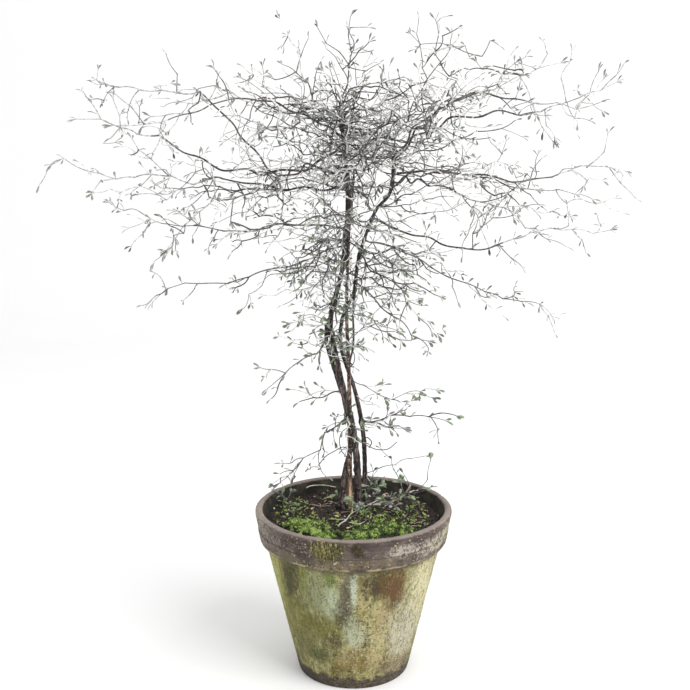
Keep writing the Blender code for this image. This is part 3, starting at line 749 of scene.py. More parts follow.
# %% Values of the twigs
LEADER_FOOT_RUN = 0.007
LEADER_NODE = 0.031
SIDE_NODE = 0.027
KINK = math.radians(34)
TWIG_FOOT_RADIUS = 0.0012
SIDE_FOOT_RADIUS = 0.00078
PAST_BEND = 0.0024
SIDE_OPENS = (math.radians(48), math.radians(82))
SIDE_TURN = 2.4
SIDE_SHARE = (0.7, 1.25)
CLEAR_OF_LIMB = 0.0009
CLEAR_OF_TWIG = 0.0006
HOME_MARGIN = 0.0032
LOWEST_TWIG = MOUND_HEIGHT + 0.012
LEAF_LENGTH = 0.0175
LEAF_WIDTH = 0.0066
LEAF_OPENS = 0.95
LEAF_MARGIN = 0.002
BLADE_PLACE = 0.62
# Where along a run we ask whether it fits
FITS_AT = (0.3, 0.65, 1.0)
LEADER_ATTEMPTS = 40
SIDE_ATTEMPTS = 8
BENDS = (0.55, 1.25)
RUNS = (0.75, 1.3)
NEAR_GOAL = 0.45
LAST_RUN = 1.25
NEARER = 0.9
RETRY_TURN = (0.5, 1.5)
SIDE_TWIST = 0.5
NODE_TWIST = 0.8


def mass_line(name):
    """Where a mass starts, the direction it starts in, and its furthest tip."""
    parent, place_on, bearing, reach, height, *_ = MASSES[name]
    goal = place(bearing, reach, height)
    if place_on is None:
        tip, before = limbs[parent].points[-1], limbs[parent].points[-2]
        heading = (tip - before).normalized()
        return tip + heading * GAP, heading, goal
    return (*seat_on(limbs[parent], place_on, goal, TWIG_FOOT_RADIUS), goal)


mass_lines = {name: mass_line(name) for name in MASSES}
home_starts = as_array([start for start, _, _ in mass_lines.values()])
home_ends = as_array([goal for _, _, goal in mass_lines.values()])


# %% The first twigs and leaves of a mass
def inner_nodes(line):
    """Each node between the ends of a line, with the direction of the run after it."""
    return [(a, (b - a).normalized()) for a, b in zip(line[1:], line[2:])]


class Mass:
    def __init__(self, name):
        self.name = name
        self.parent, self.place_on, *_, self.spread, self.side_shoots, self.leaf_limit = MASSES[name]
        self.index = list(MASSES).index(name)
        self.draw = random.Random(f"{SEED} {name}")
        self.shoots = []
        self.starts, self.ends = np.zeros((0, 3)), np.zeros((0, 3))
        self.blades = []
        self.leaves = []

    def ways_home(self, point):
        """How far a point is from this mass's line, and from the nearest line of another mass."""
        away = to_segments(point, home_starts, home_ends)
        own = away[self.index]
        away[self.index] = np.inf
        return own, away.min()

    def at_home(self, point, margin=HOME_MARGIN):
        own, other = self.ways_home(point)
        return own + margin < other and own < self.spread

    def fits(self, a, b, near_foot, foot_radius):
        for share in FITS_AT:
            point = a.lerp(b, share)
            if point.z < LOWEST_TWIG or not self.at_home(point):
                return False
            if off_the_wood(point, self.parent if near_foot else None) < foot_radius + CLEAR_OF_LIMB:
                return False
            if len(self.starts) and share > FITS_AT[0]:
                away = to_segments(point, self.starts, self.ends)
                if away.min() < 2 * foot_radius + CLEAR_OF_TWIG:
                    return False
        return True

    def shoot(self, start, heading, goal, node, foot_radius, leader):
        """One zigzag shoot from start towards goal: at each node it turns to the other side."""
        draw = self.draw
        line = [start]
        if leader:
            line.append(start + heading * LEADER_FOOT_RUN)
        turn, side = any_turn(draw), draw.choice((-1, 1))
        attempts = LEADER_ATTEMPTS if leader else SIDE_ATTEMPTS
        while len(line) < 3 or (goal - line[-1]).length > node * NEAR_GOAL:
            here = line[-1]
            left = goal - here
            along = left.normalized()
            for attempt in range(attempts):
                bend = side * KINK * draw.uniform(*BENDS) * (1 + attempt / attempts)
                reached = here + leaning(along, bend, turn) * node * draw.uniform(*RUNS)
                if left.length < node * LAST_RUN and attempt < 3:
                    reached = here.lerp(goal, 1 - attempt / 5)
                nearer = (goal - reached).length < left.length * NEARER
                if nearer and self.fits(here, reached, leader and len(line) < 4, foot_radius):
                    line.append(reached)
                    break
                turn += draw.uniform(*RETRY_TURN)
            else:
                break
            side = -side
            turn += draw.uniform(-NODE_TWIST, NODE_TWIST)
        if len(line) < 3:
            return None
        self.shoots.append(line)
        points = as_array(line)
        self.starts = np.concatenate([self.starts, points[:-1]])
        self.ends = np.concatenate([self.ends, points[1:]])
        return line

    def add_leaf(self, node, direction, face):
        if len(self.leaves) >= self.leaf_limit:
            return
        blade = node + direction * LEAF_LENGTH * BLADE_PLACE
        tip = node + direction * LEAF_LENGTH
        if not (self.at_home(tip, LEAF_MARGIN * 2) and self.at_home(blade, LEAF_WIDTH + LEAF_MARGIN)):
            return
        if min(off_the_wood(p) for p in (blade, tip)) < LEAF_WIDTH / 2:
            return
        for point in (blade, tip):
            if to_segments(point, self.starts, self.ends).min() < LEAF_WIDTH * 0.6:
                return
        if any((blade - other).length < LEAF_WIDTH * 1.25 for other in self.blades) or tip.z < LOWEST_TWIG:
            return
        self.blades.append(blade)
        self.leaves.append((node, direction, face))

    def grow(self, start, heading, goal):
        draw = self.draw
        along = (goal - start).normalized()
        last_node = goal - along * LEAF_LENGTH * 0.9
        leader = self.shoot(start, heading, last_node, LEADER_NODE, TWIG_FOOT_RADIUS, True)
        turn = any_turn(draw)
        runs = list(zip(leader[1:], leader[2:]))
        for k in range(self.side_shoots):
            bend, after = runs[int((k + 0.5) / self.side_shoots * len(runs))]
            node = bend + (after - bend).normalized() * (PAST_BEND + PAST_BEND * (k % 2))
            out = leaning(along, draw.uniform(*SIDE_OPENS), turn)
            reach = draw.uniform(*SIDE_SHARE) * self.spread
            self.shoot(node, out, node + out * reach, SIDE_NODE, SIDE_FOOT_RADIUS, False)
            turn += SIDE_TURN + draw.uniform(-SIDE_TWIST, SIDE_TWIST)
        sprigs = []
        for line in self.shoots:
            ends = (line[-1] - line[-2]).normalized()
            self.add_leaf(line[-1] - ends * 0.001, ends, square_to(ends, any_turn(draw)))
            sprigs += inner_nodes(line)
        draw.shuffle(sprigs)
        for node, ahead in sprigs:
            out = leaning(ahead, LEAF_OPENS, any_turn(draw))
            self.add_leaf(node + ahead * PAST_BEND, out, square_to(out, any_turn(draw)))


masses = {}
for name, line in mass_lines.items():
    masses[name] = Mass(name)
    masses[name].grow(*line)
print("first twigs:", sum(len(mass.shoots) for mass in masses.values()),
      "first leaves:", sum(len(mass.leaves) for mass in masses.values()))

# %% [markdown]
# The wood straightens a little as it grows older, so the zigzag of the first twigs is softened before it is
# drawn: each node moves part of the way to the middle of its neighbours, some more and some less. The side
# shoots and leaves are then seated on the softened lines again.

# %% Softened lines
SOFTENING = (0.15, 0.85)


def softened(line, draw, first):
    nodes = [point.copy() for point in line]
    for k in range(first, len(line) - 1):
        nodes[k] = line[k].lerp((line[k - 1] + line[k + 1]) / 2, draw.uniform(*SOFTENING))
    return nodes


def seated(point, lines):
    """The nearest place to a point on any of the lines."""
    best, best_away = point, math.inf
    for line in lines:
        for a, b in zip(line, line[1:]):
            share = min(1, max(0, (point - a).dot(b - a) / max((b - a).length_squared, 1e-12)))
            here = a.lerp(b, share)
            if (point - here).length < best_away:
                best, best_away = here, (point - here).length
    return best


soften_draw = random.Random(f"{SEED} soften")
for mass in masses.values():
    mass.drawn = [softened(mass.shoots[0], soften_draw, 2)]
    for line in mass.shoots[1:]:
        nodes = softened(line, soften_draw, 1)
        nodes[0] = seated(line[0], mass.drawn[:1])
        mass.drawn.append(nodes)

# %% [markdown]
# Finer twigs. The solids hold only the first twigs, because their faces are counted. Here each node of them
# forks again, and those forks fork once more. Near the middle of the crown, where the plant is oldest,
# there are several from each node, and in the outer parts hardly one, so that the crown can be seen
# through as in the photograph.

# %% How crowded the crown is
CROWN_MIDDLE = Vector((0.0, 0.0, 0.698))
CORE_RADIUS = 0.076
CORE_ABOVE = 0.045
CORE_BELOW = 0.066
TRUNK_CORE_RADIUS = 0.045
TRUNK_CORE = (0.5, 0.68)
TRUNK_SHARE = 0.55
BARE_TOP = 0.752


def crowding(point):
    """1 in the middle of the crown, falling to 0 outside, and less round the upper stems."""
    across = math.hypot(point.x - CROWN_MIDDLE.x, point.y - CROWN_MIDDLE.y)
    up = point.z - CROWN_MIDDLE.z
    core = (across / CORE_RADIUS) ** 2 + (up / (CORE_ABOVE if up > 0 else CORE_BELOW)) ** 2
    trunk = TRUNK_SHARE * math.exp(-(across / TRUNK_CORE_RADIUS) ** 2 / 2)
    if not TRUNK_CORE[0] < point.z < TRUNK_CORE[1]:
        trunk = 0
    return max(math.exp(-core / 2), trunk)


# %% Growth of fine twigs
FEW_TWIGS = 0.24
MANY_TWIGS = 3.6
OVERLAP = 0.02
BOX_MARGIN = 0.002
# Where along a run we ask whether there is room for it
OPEN_AT = (0.55, 1.0)
FINE_RUN = (0.0, 0.02, 0.014)
FINE_RUNS = (0, (2, 3, 3, 4), (1, 2, 2))
LONGER_RUN = 0.45
MORE_RUNS = 2.4
STRAIGHTER = 0.5
FORK_SHARE = 0.45
FINE_KINK = (math.radians(18), math.radians(56))
FINE_OPENS = (math.radians(45), math.radians(90))
FLATTENED = 0.72
# Under LEAFY_HEIGHT the twigs bend less and are combed outwards and a little down
CALM = 0.6
COMBED = 0.55
COMBED_FALL = -0.15
KEPT_WAY = 0.45
FINE_ATTEMPTS = 4
FINE_RETRY_TURN = (0.8, 2.0)
RUN_LENGTHS = (0.6, 1.4)
LEAF_SPREADS = (0.6, 1.25)
LEAF_LENGTHS = (0.68, 1.18)
TIP_LEAVES = (1, 1, 2, 3)
NODE_LEAVES = (1, 1, 2, 2, 3)
# Share of nodes with leaves over and under LEAFY_HEIGHT
NODE_LEAF_SHARE = (0.27, 0.54)
LEAFY_HEIGHT = 0.63
SHADE_HEIGHT = 0.5
SHADE_REACH = 0.15
SHADE_TWIGS = 0.6
DEEP_SHADE_HEIGHT = 0.38
LEAF_SIZES = (0.012, 0.0118, 0.0108)
LEAF_BREADTHS = (1.1, 1.05, 0.82)
FACE_TILT = (1.8, 1.4, 0.7)


def in_the_box(point):
    return all(cad_low[k] + BOX_MARGIN < point[k] < cad_high[k] - BOX_MARGIN for k in range(3))


def how_many(draw, wanted):
    """A whole number that comes out as wanted on average."""
    return int(wanted) + (draw.random() < wanted % 1)


def shade(point):
    """0 on the shoots near the soil, 1 higher on the trunk, and 2 in the crown, which has the sun."""
    if point.z > SHADE_HEIGHT or reach_of(point) > SHADE_REACH:
        return 2
    return 0 if point.z < DEEP_SHADE_HEIGHT else 1


def leaf_size(point):
    """Leaves are largest where they stand in shade."""
    return LEAF_SIZES[shade(point)]


# Thickets out in the crown: middle across and up, reach in each direction, and more twigs at each node there
THICKETS = ((-0.175, 0.69, 0.034, 0.036, 0.5), (-0.16, 0.612, 0.042, 0.03, 0.6),
            (-0.088, 0.572, 0.038, 0.03, 1.2), (0.11, 0.79, 0.066, 0.028, 1.4),
            (0.08, 0.58, 0.035, 0.032, 1.6))


def thicket(point):
    more = 0
    for across, up, reach_across, reach_up, twigs in THICKETS:
        away = ((point.x - across) / reach_across) ** 2 + ((point.z - up) / reach_up) ** 2
        more += twigs * math.exp(-away / 2)
    return more


class Growth:
    """Fine twigs, and where each leaf sits: its root, direction, face and length."""

    def __init__(self, name, lowest=LOWEST_TWIG):
        self.name, self.lowest = name, lowest
        self.draw = random.Random(f"{SEED} fine {name}")
        self.lines = []
        self.leaves = []

    def open_to(self, a, b):
        for share in OPEN_AT:
            point = a.lerp(b, share)
            if point.z < self.lowest or not in_the_box(point) or off_the_wood(point) < CLEAR_OF_LIMB * 2:
                return False
        return True

    def twig(self, node, along, level, heading=None):
        draw = self.draw
        if heading is None:
            heading = leaning(along, draw.uniform(*FINE_OPENS), any_turn(draw))
            heading.z *= FLATTENED
            if node.z < LEAFY_HEIGHT:
                outward = Vector((node.x, node.y, 0)).normalized()
                heading += COMBED * (outward + Vector((0, 0, COMBED_FALL)))
            heading.normalize()
        calm = CALM if node.z < LEAFY_HEIGHT else 1.0
        turn, side = any_turn(draw), draw.choice((-1, 1))
        old = crowding(node) if level == 1 else 0
        run = FINE_RUN[level] * (1 + LONGER_RUN * old)
        line = [node]
        for _ in range(draw.choice(FINE_RUNS[level]) + round(MORE_RUNS * old)):
            for _ in range(FINE_ATTEMPTS):
                bend = side * draw.uniform(*FINE_KINK) * (1 - STRAIGHTER * old) * calm
                way = leaning(heading, bend, turn)
                reached = line[-1] + way * run * draw.uniform(*RUN_LENGTHS)
                if self.open_to(line[-1], reached):
                    break
                turn += draw.uniform(*FINE_RETRY_TURN)
            else:
                break
            line.append(reached)
            heading = (way * (1 - KEPT_WAY) + heading * KEPT_WAY).normalized()
            side = -side
            turn += draw.uniform(-NODE_TWIST, NODE_TWIST)
        if len(line) < 2:
            return
        self.lines.append((line, level))
        if level == 1:
            for fork, ahead in inner_nodes(line):
                if draw.random() < FORK_SHARE:
                    self.twig(fork, ahead, 2)
        self.dress(line)

    def cluster(self, node, along, count, opens):
        """Leaves round a node, with most of their upper sides to the sky."""
        draw = self.draw
        size = leaf_size(node)
        turn = any_turn(draw)
        for k in range(count):
            out = leaning(along, opens * draw.uniform(*LEAF_SPREADS), turn + k * SIDE_TURN)
            length = size * draw.uniform(*LEAF_LENGTHS)
            tip = node + out * length
            if in_the_box(tip) and tip.z > self.lowest and off_the_wood(tip) > CLEAR_OF_LIMB:
                tilt = FACE_TILT[shade(node)]
                face = Vector((draw.gauss(0, tilt), draw.gauss(0, tilt), 1.0))
                self.leaves.append((node, out, face, length))

    def dress(self, line):
        """Leaves in twos and threes at the tip of a line, and now and then at its nodes."""
        ends = (line[-1] - line[-2]).normalized()
        self.cluster(line[-1] - ends * 0.0008, ends, self.draw.choice(TIP_LEAVES), 0.5)
        share = NODE_LEAF_SHARE[line[0].z < LEAFY_HEIGHT]
        for node, ahead in inner_nodes(line):
            if self.draw.random() < share:
                self.cluster(node, ahead, self.draw.choice(NODE_LEAVES), 1.0)


class FineMass(Growth):
    """The finer twigs of one mass, which keep to the mass's own space but for a little overlap."""

    def __init__(self, mass):
        super().__init__(mass.name)
        self.mass = mass

    def open_to(self, a, b):
        for share in OPEN_AT:
            own, other = self.mass.ways_home(a.lerp(b, share))
            if own > self.mass.spread or own - OVERLAP > other:
                return False
        return super().open_to(a, b)

    def wanted(self, point):
        if shade(point) < 2:
            return SHADE_TWIGS
        few = FEW_TWIGS * (0.5 if point.z > BARE_TOP else 1) + thicket(point)
        if point.z > BARE_TOP:
            return few
        return max(few, FEW_TWIGS + (MANY_TWIGS - FEW_TWIGS) * crowding(point))

    def refine(self):
        for line in self.mass.drawn:
            for node, ahead in inner_nodes(line):
                for _ in range(how_many(self.draw, self.wanted(node))):
                    self.twig(node, ahead, 1)
            self.dress(line)
        for node, direction, face in self.mass.leaves:
            upper = Vector((face.x * 0.6, face.y * 0.6, 1.0))
            self.leaves.append((seated(node, self.mass.drawn), direction, upper, leaf_size(node) * 1.15))


growths = {name: FineMass(mass) for name, mass in masses.items()}
for fine in growths.values():
    fine.refine()
print("finer twigs:", sum(len(fine.lines) for fine in growths.values()),
      "leaves:", sum(len(fine.leaves) for fine in growths.values()))

# %% [markdown]
# Shoots on the trunk. Old buds on the stems still break into small leafy tufts, and they hide much of the
# plaited stems. They are fine twigs of the same kind which start on the stems instead of on a mass.

# %% Tufts on the stems
# Each tuft: stem, height in mm, bearing that its middle points to, and number of twigs
TRUNK_TUFTS = (
    (MAIN, 305, 190, 2), (RIGHT, 262, 350, 2), (MAIN, 328, 262, 4), (RIGHT, 335, 310, 3), (MAIN, 345, 205, 2),
    (RIGHT, 362, 345, 2), (MAIN, 372, 180, 1), (MAIN, 434, 250, 7), (MAIN, 446, 280, 7),
    (STRAIGHT, 440, 290, 5), (MAIN, 462, 270, 5), (MAIN, 474, 230, 4), (STRAIGHT, 478, 290, 5),
    (MAIN, 488, 210, 3), (MAIN, 492, 260, 6), (RIGHT, 486, 320, 3), (STRAIGHT, 490, 280, 5),
    (MAIN, 510, 255, 6), (RIGHT, 520, 300, 4), (STRAIGHT, 530, 275, 6), (MAIN, 548, 240, 5),
    (RIGHT, 545, 330, 3), (MAIN, 572, 260, 6), (STRAIGHT, 575, 285, 4), (RIGHT, 585, 330, 4),
    (MAIN, 605, 220, 5), (STRAIGHT, 612, 260, 4), (RIGHT, 615, 350, 5), (MAIN, 640, 240, 5),
    (RIGHT, 645, 300, 4), (MAIN, 662, 200, 5), (RIGHT, 670, 340, 6), (MAIN, 680, 270, 10),
    (MAIN, 696, 210, 10), (MAIN, 712, 320, 10), (MAIN, 728, 240, 9), (RIGHT, 688, 230, 9), (LEFT, 640, 30, 6),
    (LEFT, 646, 260, 6), (MAIN, 704, 355, 9), (MAIN, 722, 10, 8), (RIGHT, 686, 195, 6),
)
TUFT_HALF_HEIGHT = 0.006
TUFT_FAN = math.radians(62)
TUFT_RISE = (-0.35, 0.5)
# Share of long twigs in the tufts under and over SHADE_HEIGHT
LONG_TUFTS = (0.35, 0.8)

tufts_on_stems = Growth("tufts")
tuft_draw = tufts_on_stems.draw


def stem_places(stem, height, count, half_height):
    """Places on a stem round a height in mm: the point, the stem's radius and its direction."""
    for _ in range(count):
        yield limbs[stem].leave_at(height / 1000 + tuft_draw.uniform(-half_height, half_height))


for stem, height, bearing, count in TRUNK_TUFTS:
    for middle, radius, along in stem_places(stem, height, count, TUFT_HALF_HEIGHT):
        turn = math.radians(bearing) + tuft_draw.uniform(-TUFT_FAN, TUFT_FAN)
        heading = polar(turn, 1, tuft_draw.uniform(*TUFT_RISE)).normalized()
        level = 1 if tuft_draw.random() < LONG_TUFTS[height / 1000 > SHADE_HEIGHT] else 2
        tufts_on_stems.twig(middle + heading * radius * 0.7, along, level, heading)

# Buds whose leaves sit right on the bark: stem, height in mm, bearing, number of leaves
LEAFY_BUDS = (
    (MAIN, 432, 265, 7), (MAIN, 442, 285, 8), (STRAIGHT, 450, 270, 6), (MAIN, 336, 275, 6),
    (STRAIGHT, 344, 265, 5), (RIGHT, 340, 280, 4), (MAIN, 470, 260, 4), (STRAIGHT, 478, 285, 4),
    (MAIN, 498, 265, 5), (STRAIGHT, 505, 280, 5), (MAIN, 520, 250, 5), (RIGHT, 500, 270, 4),
    (MAIN, 552, 265, 4), (RIGHT, 560, 280, 4), (MAIN, 590, 270, 4),
)
BUD_HALF_HEIGHT = 0.009
for stem, height, bearing, count in LEAFY_BUDS:
    for middle, radius, _ in stem_places(stem, height, count, BUD_HALF_HEIGHT):
        turn = math.radians(bearing) + tuft_draw.gauss(0, 0.4)
        front = polar(turn, 1)
        way = square_to(front, any_turn(tuft_draw)) + front * 0.45
        face = front + Vector((tuft_draw.gauss(0, 0.4), tuft_draw.gauss(0, 0.3), 0.6))
        size = LEAF_SIZES[0] * tuft_draw.uniform(0.75, 1.2)
        tufts_on_stems.leaves.append((middle + front * radius * 0.95, way.normalized(), face, size))

# Long low shoots: the stem that each leaves, the height there, and the points that it goes through, in mm
LONG_SHOOTS = (
    (RIGHT, 393, ((13.5, -4, 389), (29.1, -10, 380.3), (50, -14, 372.3), (66.9, -12, 380.3),
                  (86.3, -8, 381.7), (102.1, -4, 372.3))),
    (RIGHT, 325, ((24.1, -8, 336), (39.8, -16, 344.1), (58, -18, 357.5), (74, -18, 371.6))),
    (MAIN, 378, ((-33.2, -14, 378.7), (-51.3, -18, 376.1), (-69.4, -18, 370.8))),
)
for stem, height, points in LONG_SHOOTS:
    middle, radius, _ = limbs[stem].leave_at(height / 1000)
    marks = in_metres(points)
    line = [middle + (marks[0] - middle).normalized() * radius * 0.7, *marks]
    tufts_on_stems.lines.append((line, 1))
    tufts_on_stems.dress(line)
    for node, ahead in inner_nodes(line):
        tufts_on_stems.twig(node, ahead, 2)
growths["tufts"] = tufts_on_stems

# Thin old strands that twine round the stems: radius and the points that they go through, in mm
OLD_STRANDS = (
    (1.4, ((-5.6, 12, 412), (-3.6, 22, 421), (-0.4, 28, 433), (0, 31, 455.4), (-0.7, 31, 475.4),
           (0.6, 30, 495.4), (3.8, 30, 516.5))),
    (0.9, ((-21.6, 12, 466.7), (-23.3, 10, 480.1), (-21.8, 10, 493.2), (-17.7, 14, 504.3))),
    (0.6, ((-6, 20, 432.1), (-1.4, 14, 430.6), (1.3, 12, 424.3), (0.6, 14, 415.9), (-3.3, 20, 408))),
    (0.6, ((-8.5, 22, 282.8), (-15.7, 14, 295), (-18.6, 10, 310), (-15.7, 10, 321.6), (-8.5, 16, 326.1))),
    (0.7, ((10.3, 32, 302.1), (16.9, 24, 310.7), (22.1, 20, 309.1), (24.2, 18, 304.9), (20.8, 18, 297.9))),
    (0.6, ((11.7, 32, 299.3), (19.6, 26, 298.3), (31.5, 20, 295.3), (46, 14, 297.8), (57.6, 10, 308.6))),
    (0.6, ((-4.5, 20, 287.6), (-12.5, 8, 302.3), (-27, 0, 297.9), (-37.4, -6, 292.9), (-46.6, -10, 281.8))),
)
STRAND_SAMPLES = 24
old_strands = [(radius / 1000, smooth_path(in_metres(points), STRAND_SAMPLES))
               for radius, points in OLD_STRANDS]
print("twigs of the tufts:", len(tufts_on_stems.lines), "leaves:", len(tufts_on_stems.leaves))

# %% [markdown]
# Each run between two nodes of a real twig is a slight bow, and the twig is a little thicker at each node.
# We lay a few points on that bow and hand all lines of one kind to a single curve object, whose bevel
# sweeps a round section along them. The curve is then made a mesh, because thousands of splines are slow to
# carry around.

# %% From lines to round twigs
BOW = 0.095
FINE_BOW = 0.14
BOW_POINTS = 5
BOW_SHARES = (0.3, 1.0)
NODE_SWELLING = 1.28
SWELLING_REACH = 0.16


def bowed(line, foot_radius, tip_radius, draw, bow=BOW):
    """Points and radii along a twig: each run bows to one side, and each node is thicker."""
    points, radii = [line[0]], [foot_radius]
    runs = len(line) - 1
    for k, (a, b) in enumerate(zip(line, line[1:])):
        run = b - a
        aside = square_to(run.normalized(), any_turn(draw)) * run.length * draw.uniform(*BOW_SHARES) * bow
        for j in range(1, BOW_POINTS + 1):
            share = j / BOW_POINTS
            points.append(a.lerp(b, share) + aside * 4 * share * (1 - share))
            thin = foot_radius + (tip_radius - foot_radius) * (k + share) / runs
            near_node = min(share, 1 - share) < SWELLING_REACH
            radii.append(thin * (NODE_SWELLING if near_node and k + share < runs else 1.0))
    return as_array(points), np.array(radii)


def sweep(name, strokes, sides_level=1):
    """One mesh of round, capped, tapering tubes along all strokes."""
    curve = bpy.data.curves.new(name, "CURVE")
    curve.dimensions = "3D"
    curve.bevel_depth = 1.0
    curve.bevel_resolution = sides_level
    curve.use_fill_caps = True
    for points, radii in strokes:
        spline = curve.splines.new("POLY")
        spline.points.add(len(points) - 1)
        spline.points.foreach_set("co", np.column_stack([points, np.ones(len(points))]).ravel())
        spline.points.foreach_set("radius", radii)
    source = add_object(name, curve)
    bpy.context.view_layer.update()
    mesh = bpy.data.meshes.new_from_object(source.evaluated_get(bpy.context.evaluated_depsgraph_get()))
    bpy.data.objects.remove(source)
    mesh.materials.clear()
    return mesh


# %% Finish of the twigs
# Each kind of twig: the name of its finish, its dark colour and its light colour
TWIG_COLOURS = {
    "leaders": ("leader_bark", (0.03, 0.024, 0.026), (0.15, 0.132, 0.132)),
    "young_twigs": ("young_twig_felt", (0.23, 0.22, 0.224), (0.58, 0.565, 0.565)),
    "side_twigs": ("side_twig_bark", (0.042, 0.036, 0.037), (0.21, 0.196, 0.194)),
    "dark_twigs": ("dark_twig_bark", (0.016, 0.012, 0.012), (0.078, 0.066, 0.062)),
    "grey_twigs": ("grey_twig_felt", (0.08, 0.076, 0.074), (0.27, 0.262, 0.254)),
    "pale_twigs": ("pale_twig_felt", (0.47, 0.452, 0.43), (0.85, 0.832, 0.815)),
}
# The dark and light spots along each twig are painted shade and painted highlights for its shaded and lit
# sides, laid over the twig's own mottled tone.
twig_looks = {kind: mottled(*look, 0.6, 190.0, TWIG_SKIN) for kind, look in TWIG_COLOURS.items()}

# %% Twigs joined by kind
LEADER_RADII = (0.00118, 0.0004)
SIDE_RADII = (0.00074, 0.0004)
FINE_RADII = (0, (0.00068, 0.00042), (0.00052, 0.00034))
STOUTNESS = {"dark_twigs": 1.35, "grey_twigs": 0.9, "pale_twigs": 1.2}
YOUNG_REACH = 0.205
# In the core, within INNER_REACH of the axis, most fine twigs are dark: painted shade inside the crown as
# well as old wood.
INNER_REACH = 0.06
INNER_TONES = (("dark_twigs", 0.6), ("grey_twigs", 0.1), ("pale_twigs", 0.3))
FINE_TONES = (("dark_twigs", 0.3), ("grey_twigs", 0.2), ("pale_twigs", 0.5))
YOUNG_TONES = (("dark_twigs", 0.08), ("grey_twigs", 0.34), ("pale_twigs", 0.58))

strokes = {kind: [] for kind in twig_looks}
bow_draw = random.Random(SEED)


def deal_by_age(kind, stroke):
    """A stroke is old wood in the middle of the crown, and young and pale in its outer part."""
    points, radii = stroke
    outside = np.hypot(points[:, 0], points[:, 1]) > YOUNG_REACH * bow_draw.uniform(0.8, 1.25)
    first = int(np.argmax(outside)) if outside.any() else len(points) - 1
    if first > 0:
        strokes[kind].append((points[:first + 1], radii[:first + 1]))
    if first < len(points) - 1:
        strokes["young_twigs"].append((points[first:], radii[first:]))


def pick_tone(tones, draw):
    pick = draw.random()
    for kind, share in tones:
        if pick < share:
            return kind
        pick -= share
    return tones[-1][0]


for mass in masses.values():
    leader, *side_lines = mass.drawn
    deal_by_age("leaders", bowed(sunk(leader), *LEADER_RADII, bow_draw))
    for line in side_lines:
        deal_by_age("side_twigs", bowed(line, *SIDE_RADII, bow_draw))
for growth in growths.values():
    for line, level in growth.lines:
        reach = reach_of(line[-1])
        tones = YOUNG_TONES if reach > YOUNG_REACH else FINE_TONES
        if reach < INNER_REACH and line[0].z > LEAFY_HEIGHT:
            tones = INNER_TONES
        tone = pick_tone(tones, bow_draw)
        foot_radius, tip_radius = [radius * STOUTNESS[tone] for radius in FINE_RADII[level]]
        strokes[tone].append(bowed(line, foot_radius, tip_radius, bow_draw, FINE_BOW))

for radius, path in old_strands:
    strokes["dark_twigs"].append((as_array(path), np.full(len(path), radius)))

for kind, finish in twig_looks.items():
    piece = new_piece(kind, sweep(kind, strokes[kind]), "foliage", [finish], list(MASSES))
    print(kind, len(strokes[kind]), "twigs,", triangles(piece), "triangles")

# %% [markdown]
# Leaves. A corokia leaf is a small spoon on a long flat stalk: dark grey-green above, and covered with
# silver felt beneath. It is built once as a thin closed blade whose middle rib is raised, and then every
# leaf is a turned, scaled copy in the joined mesh of its colour. Copying arrays of points is far quicker
# than making thousands of objects.

# %% The shape of a leaf
# Share of the length, half width and lift of each cross section, in lengths of the leaf
LEAF_ROWS = ((0.0, 0.024, 0.0), (0.26, 0.032, 0.01), (0.44, 0.09, 0.018), (0.64, 0.14, 0.016),
             (0.82, 0.135, 0.0), (0.95, 0.07, -0.02))
LEAF_TIP = (1.0, -0.032)
RIB_HEIGHT = 0.022
BLADE_THICKNESS = 0.028
CUP = 0.22


def leaf_template():
    """Points, faces and the side that each face is on: 0 above and 1 beneath."""
    points, faces = [], []
    for along, half_width, lift in LEAF_ROWS:
        edge = lift + CUP * half_width
        points += [(half_width, edge, along), (0, lift + RIB_HEIGHT * (half_width > 0.05), along),
                   (-half_width, edge, along), (0, lift - BLADE_THICKNESS, along)]
    rows = len(LEAF_ROWS)
    for k in range(rows - 1):
        faces += faces_from(k * 4, 4)
    points.append((0, LEAF_TIP[1], LEAF_TIP[0]))
    for j in range(4):
        faces.append(((rows - 1) * 4 + j, (rows - 1) * 4 + (j + 1) % 4, len(points) - 1))
    faces.append((3, 2, 1, 0))
    return np.array(points), faces, [0, 0, 1, 1] * rows + [1]


leaf_points, leaf_faces, leaf_sides = leaf_template()


def leaf_basis(direction, face):
    flat = (face - direction * face.dot(direction)).normalized()
    return as_array([flat.cross(direction), flat, direction])


def joined(name, copies, faces, zones=None):
    """One mesh of many copies of a template, whose points are all that differs."""
    size = len(copies[0])
    all_faces = [tuple(k * size + i for i in one) for k in range(len(copies)) for one in faces]
    return mesh_of(name, np.concatenate(copies), all_faces, zones)


def joined_leaves(name, leaves, draw, breadth=1.0):
    """All leaves as one mesh. Each is a copy of the template with its own width and curl."""
    copies = []
    for root, direction, face, length in leaves:
        shaped = leaf_points.copy()
        shaped[:, 0] *= draw.uniform(0.8, 1.15) * breadth * LEAF_BREADTHS[shade(root)]
        shaped[:, 1] += shaped[:, 2] ** 2 * draw.uniform(-0.16, 0.05)
        copies.append(shaped * length @ leaf_basis(direction, face) + np.array(tuple(root)))
    return joined(name, copies, leaf_faces, leaf_sides * len(leaves))


# %% Finish of the leaves
def leaf_finish(name, dark, light, roughness):
    return mottled(name, dark, light, roughness, 260.0, LEAF_SKIN)


silver_felt = leaf_finish("silver_felt", (0.24, 0.252, 0.226), (0.4, 0.412, 0.38), 0.85)
leaf_looks = {
    "dark_leaves": leaf_finish("dark_leaf", (0.026, 0.034, 0.026), (0.078, 0.092, 0.07), 0.5),
    "grey_leaves": leaf_finish("grey_leaf", (0.08, 0.095, 0.075), (0.165, 0.185, 0.15), 0.55),
    "silver_leaves": leaf_finish("silver_leaf", (0.2, 0.22, 0.186), (0.32, 0.34, 0.3), 0.6),
    "green_leaves": leaf_finish("green_leaf", (0.13, 0.182, 0.1), (0.29, 0.35, 0.225), 0.5),
}

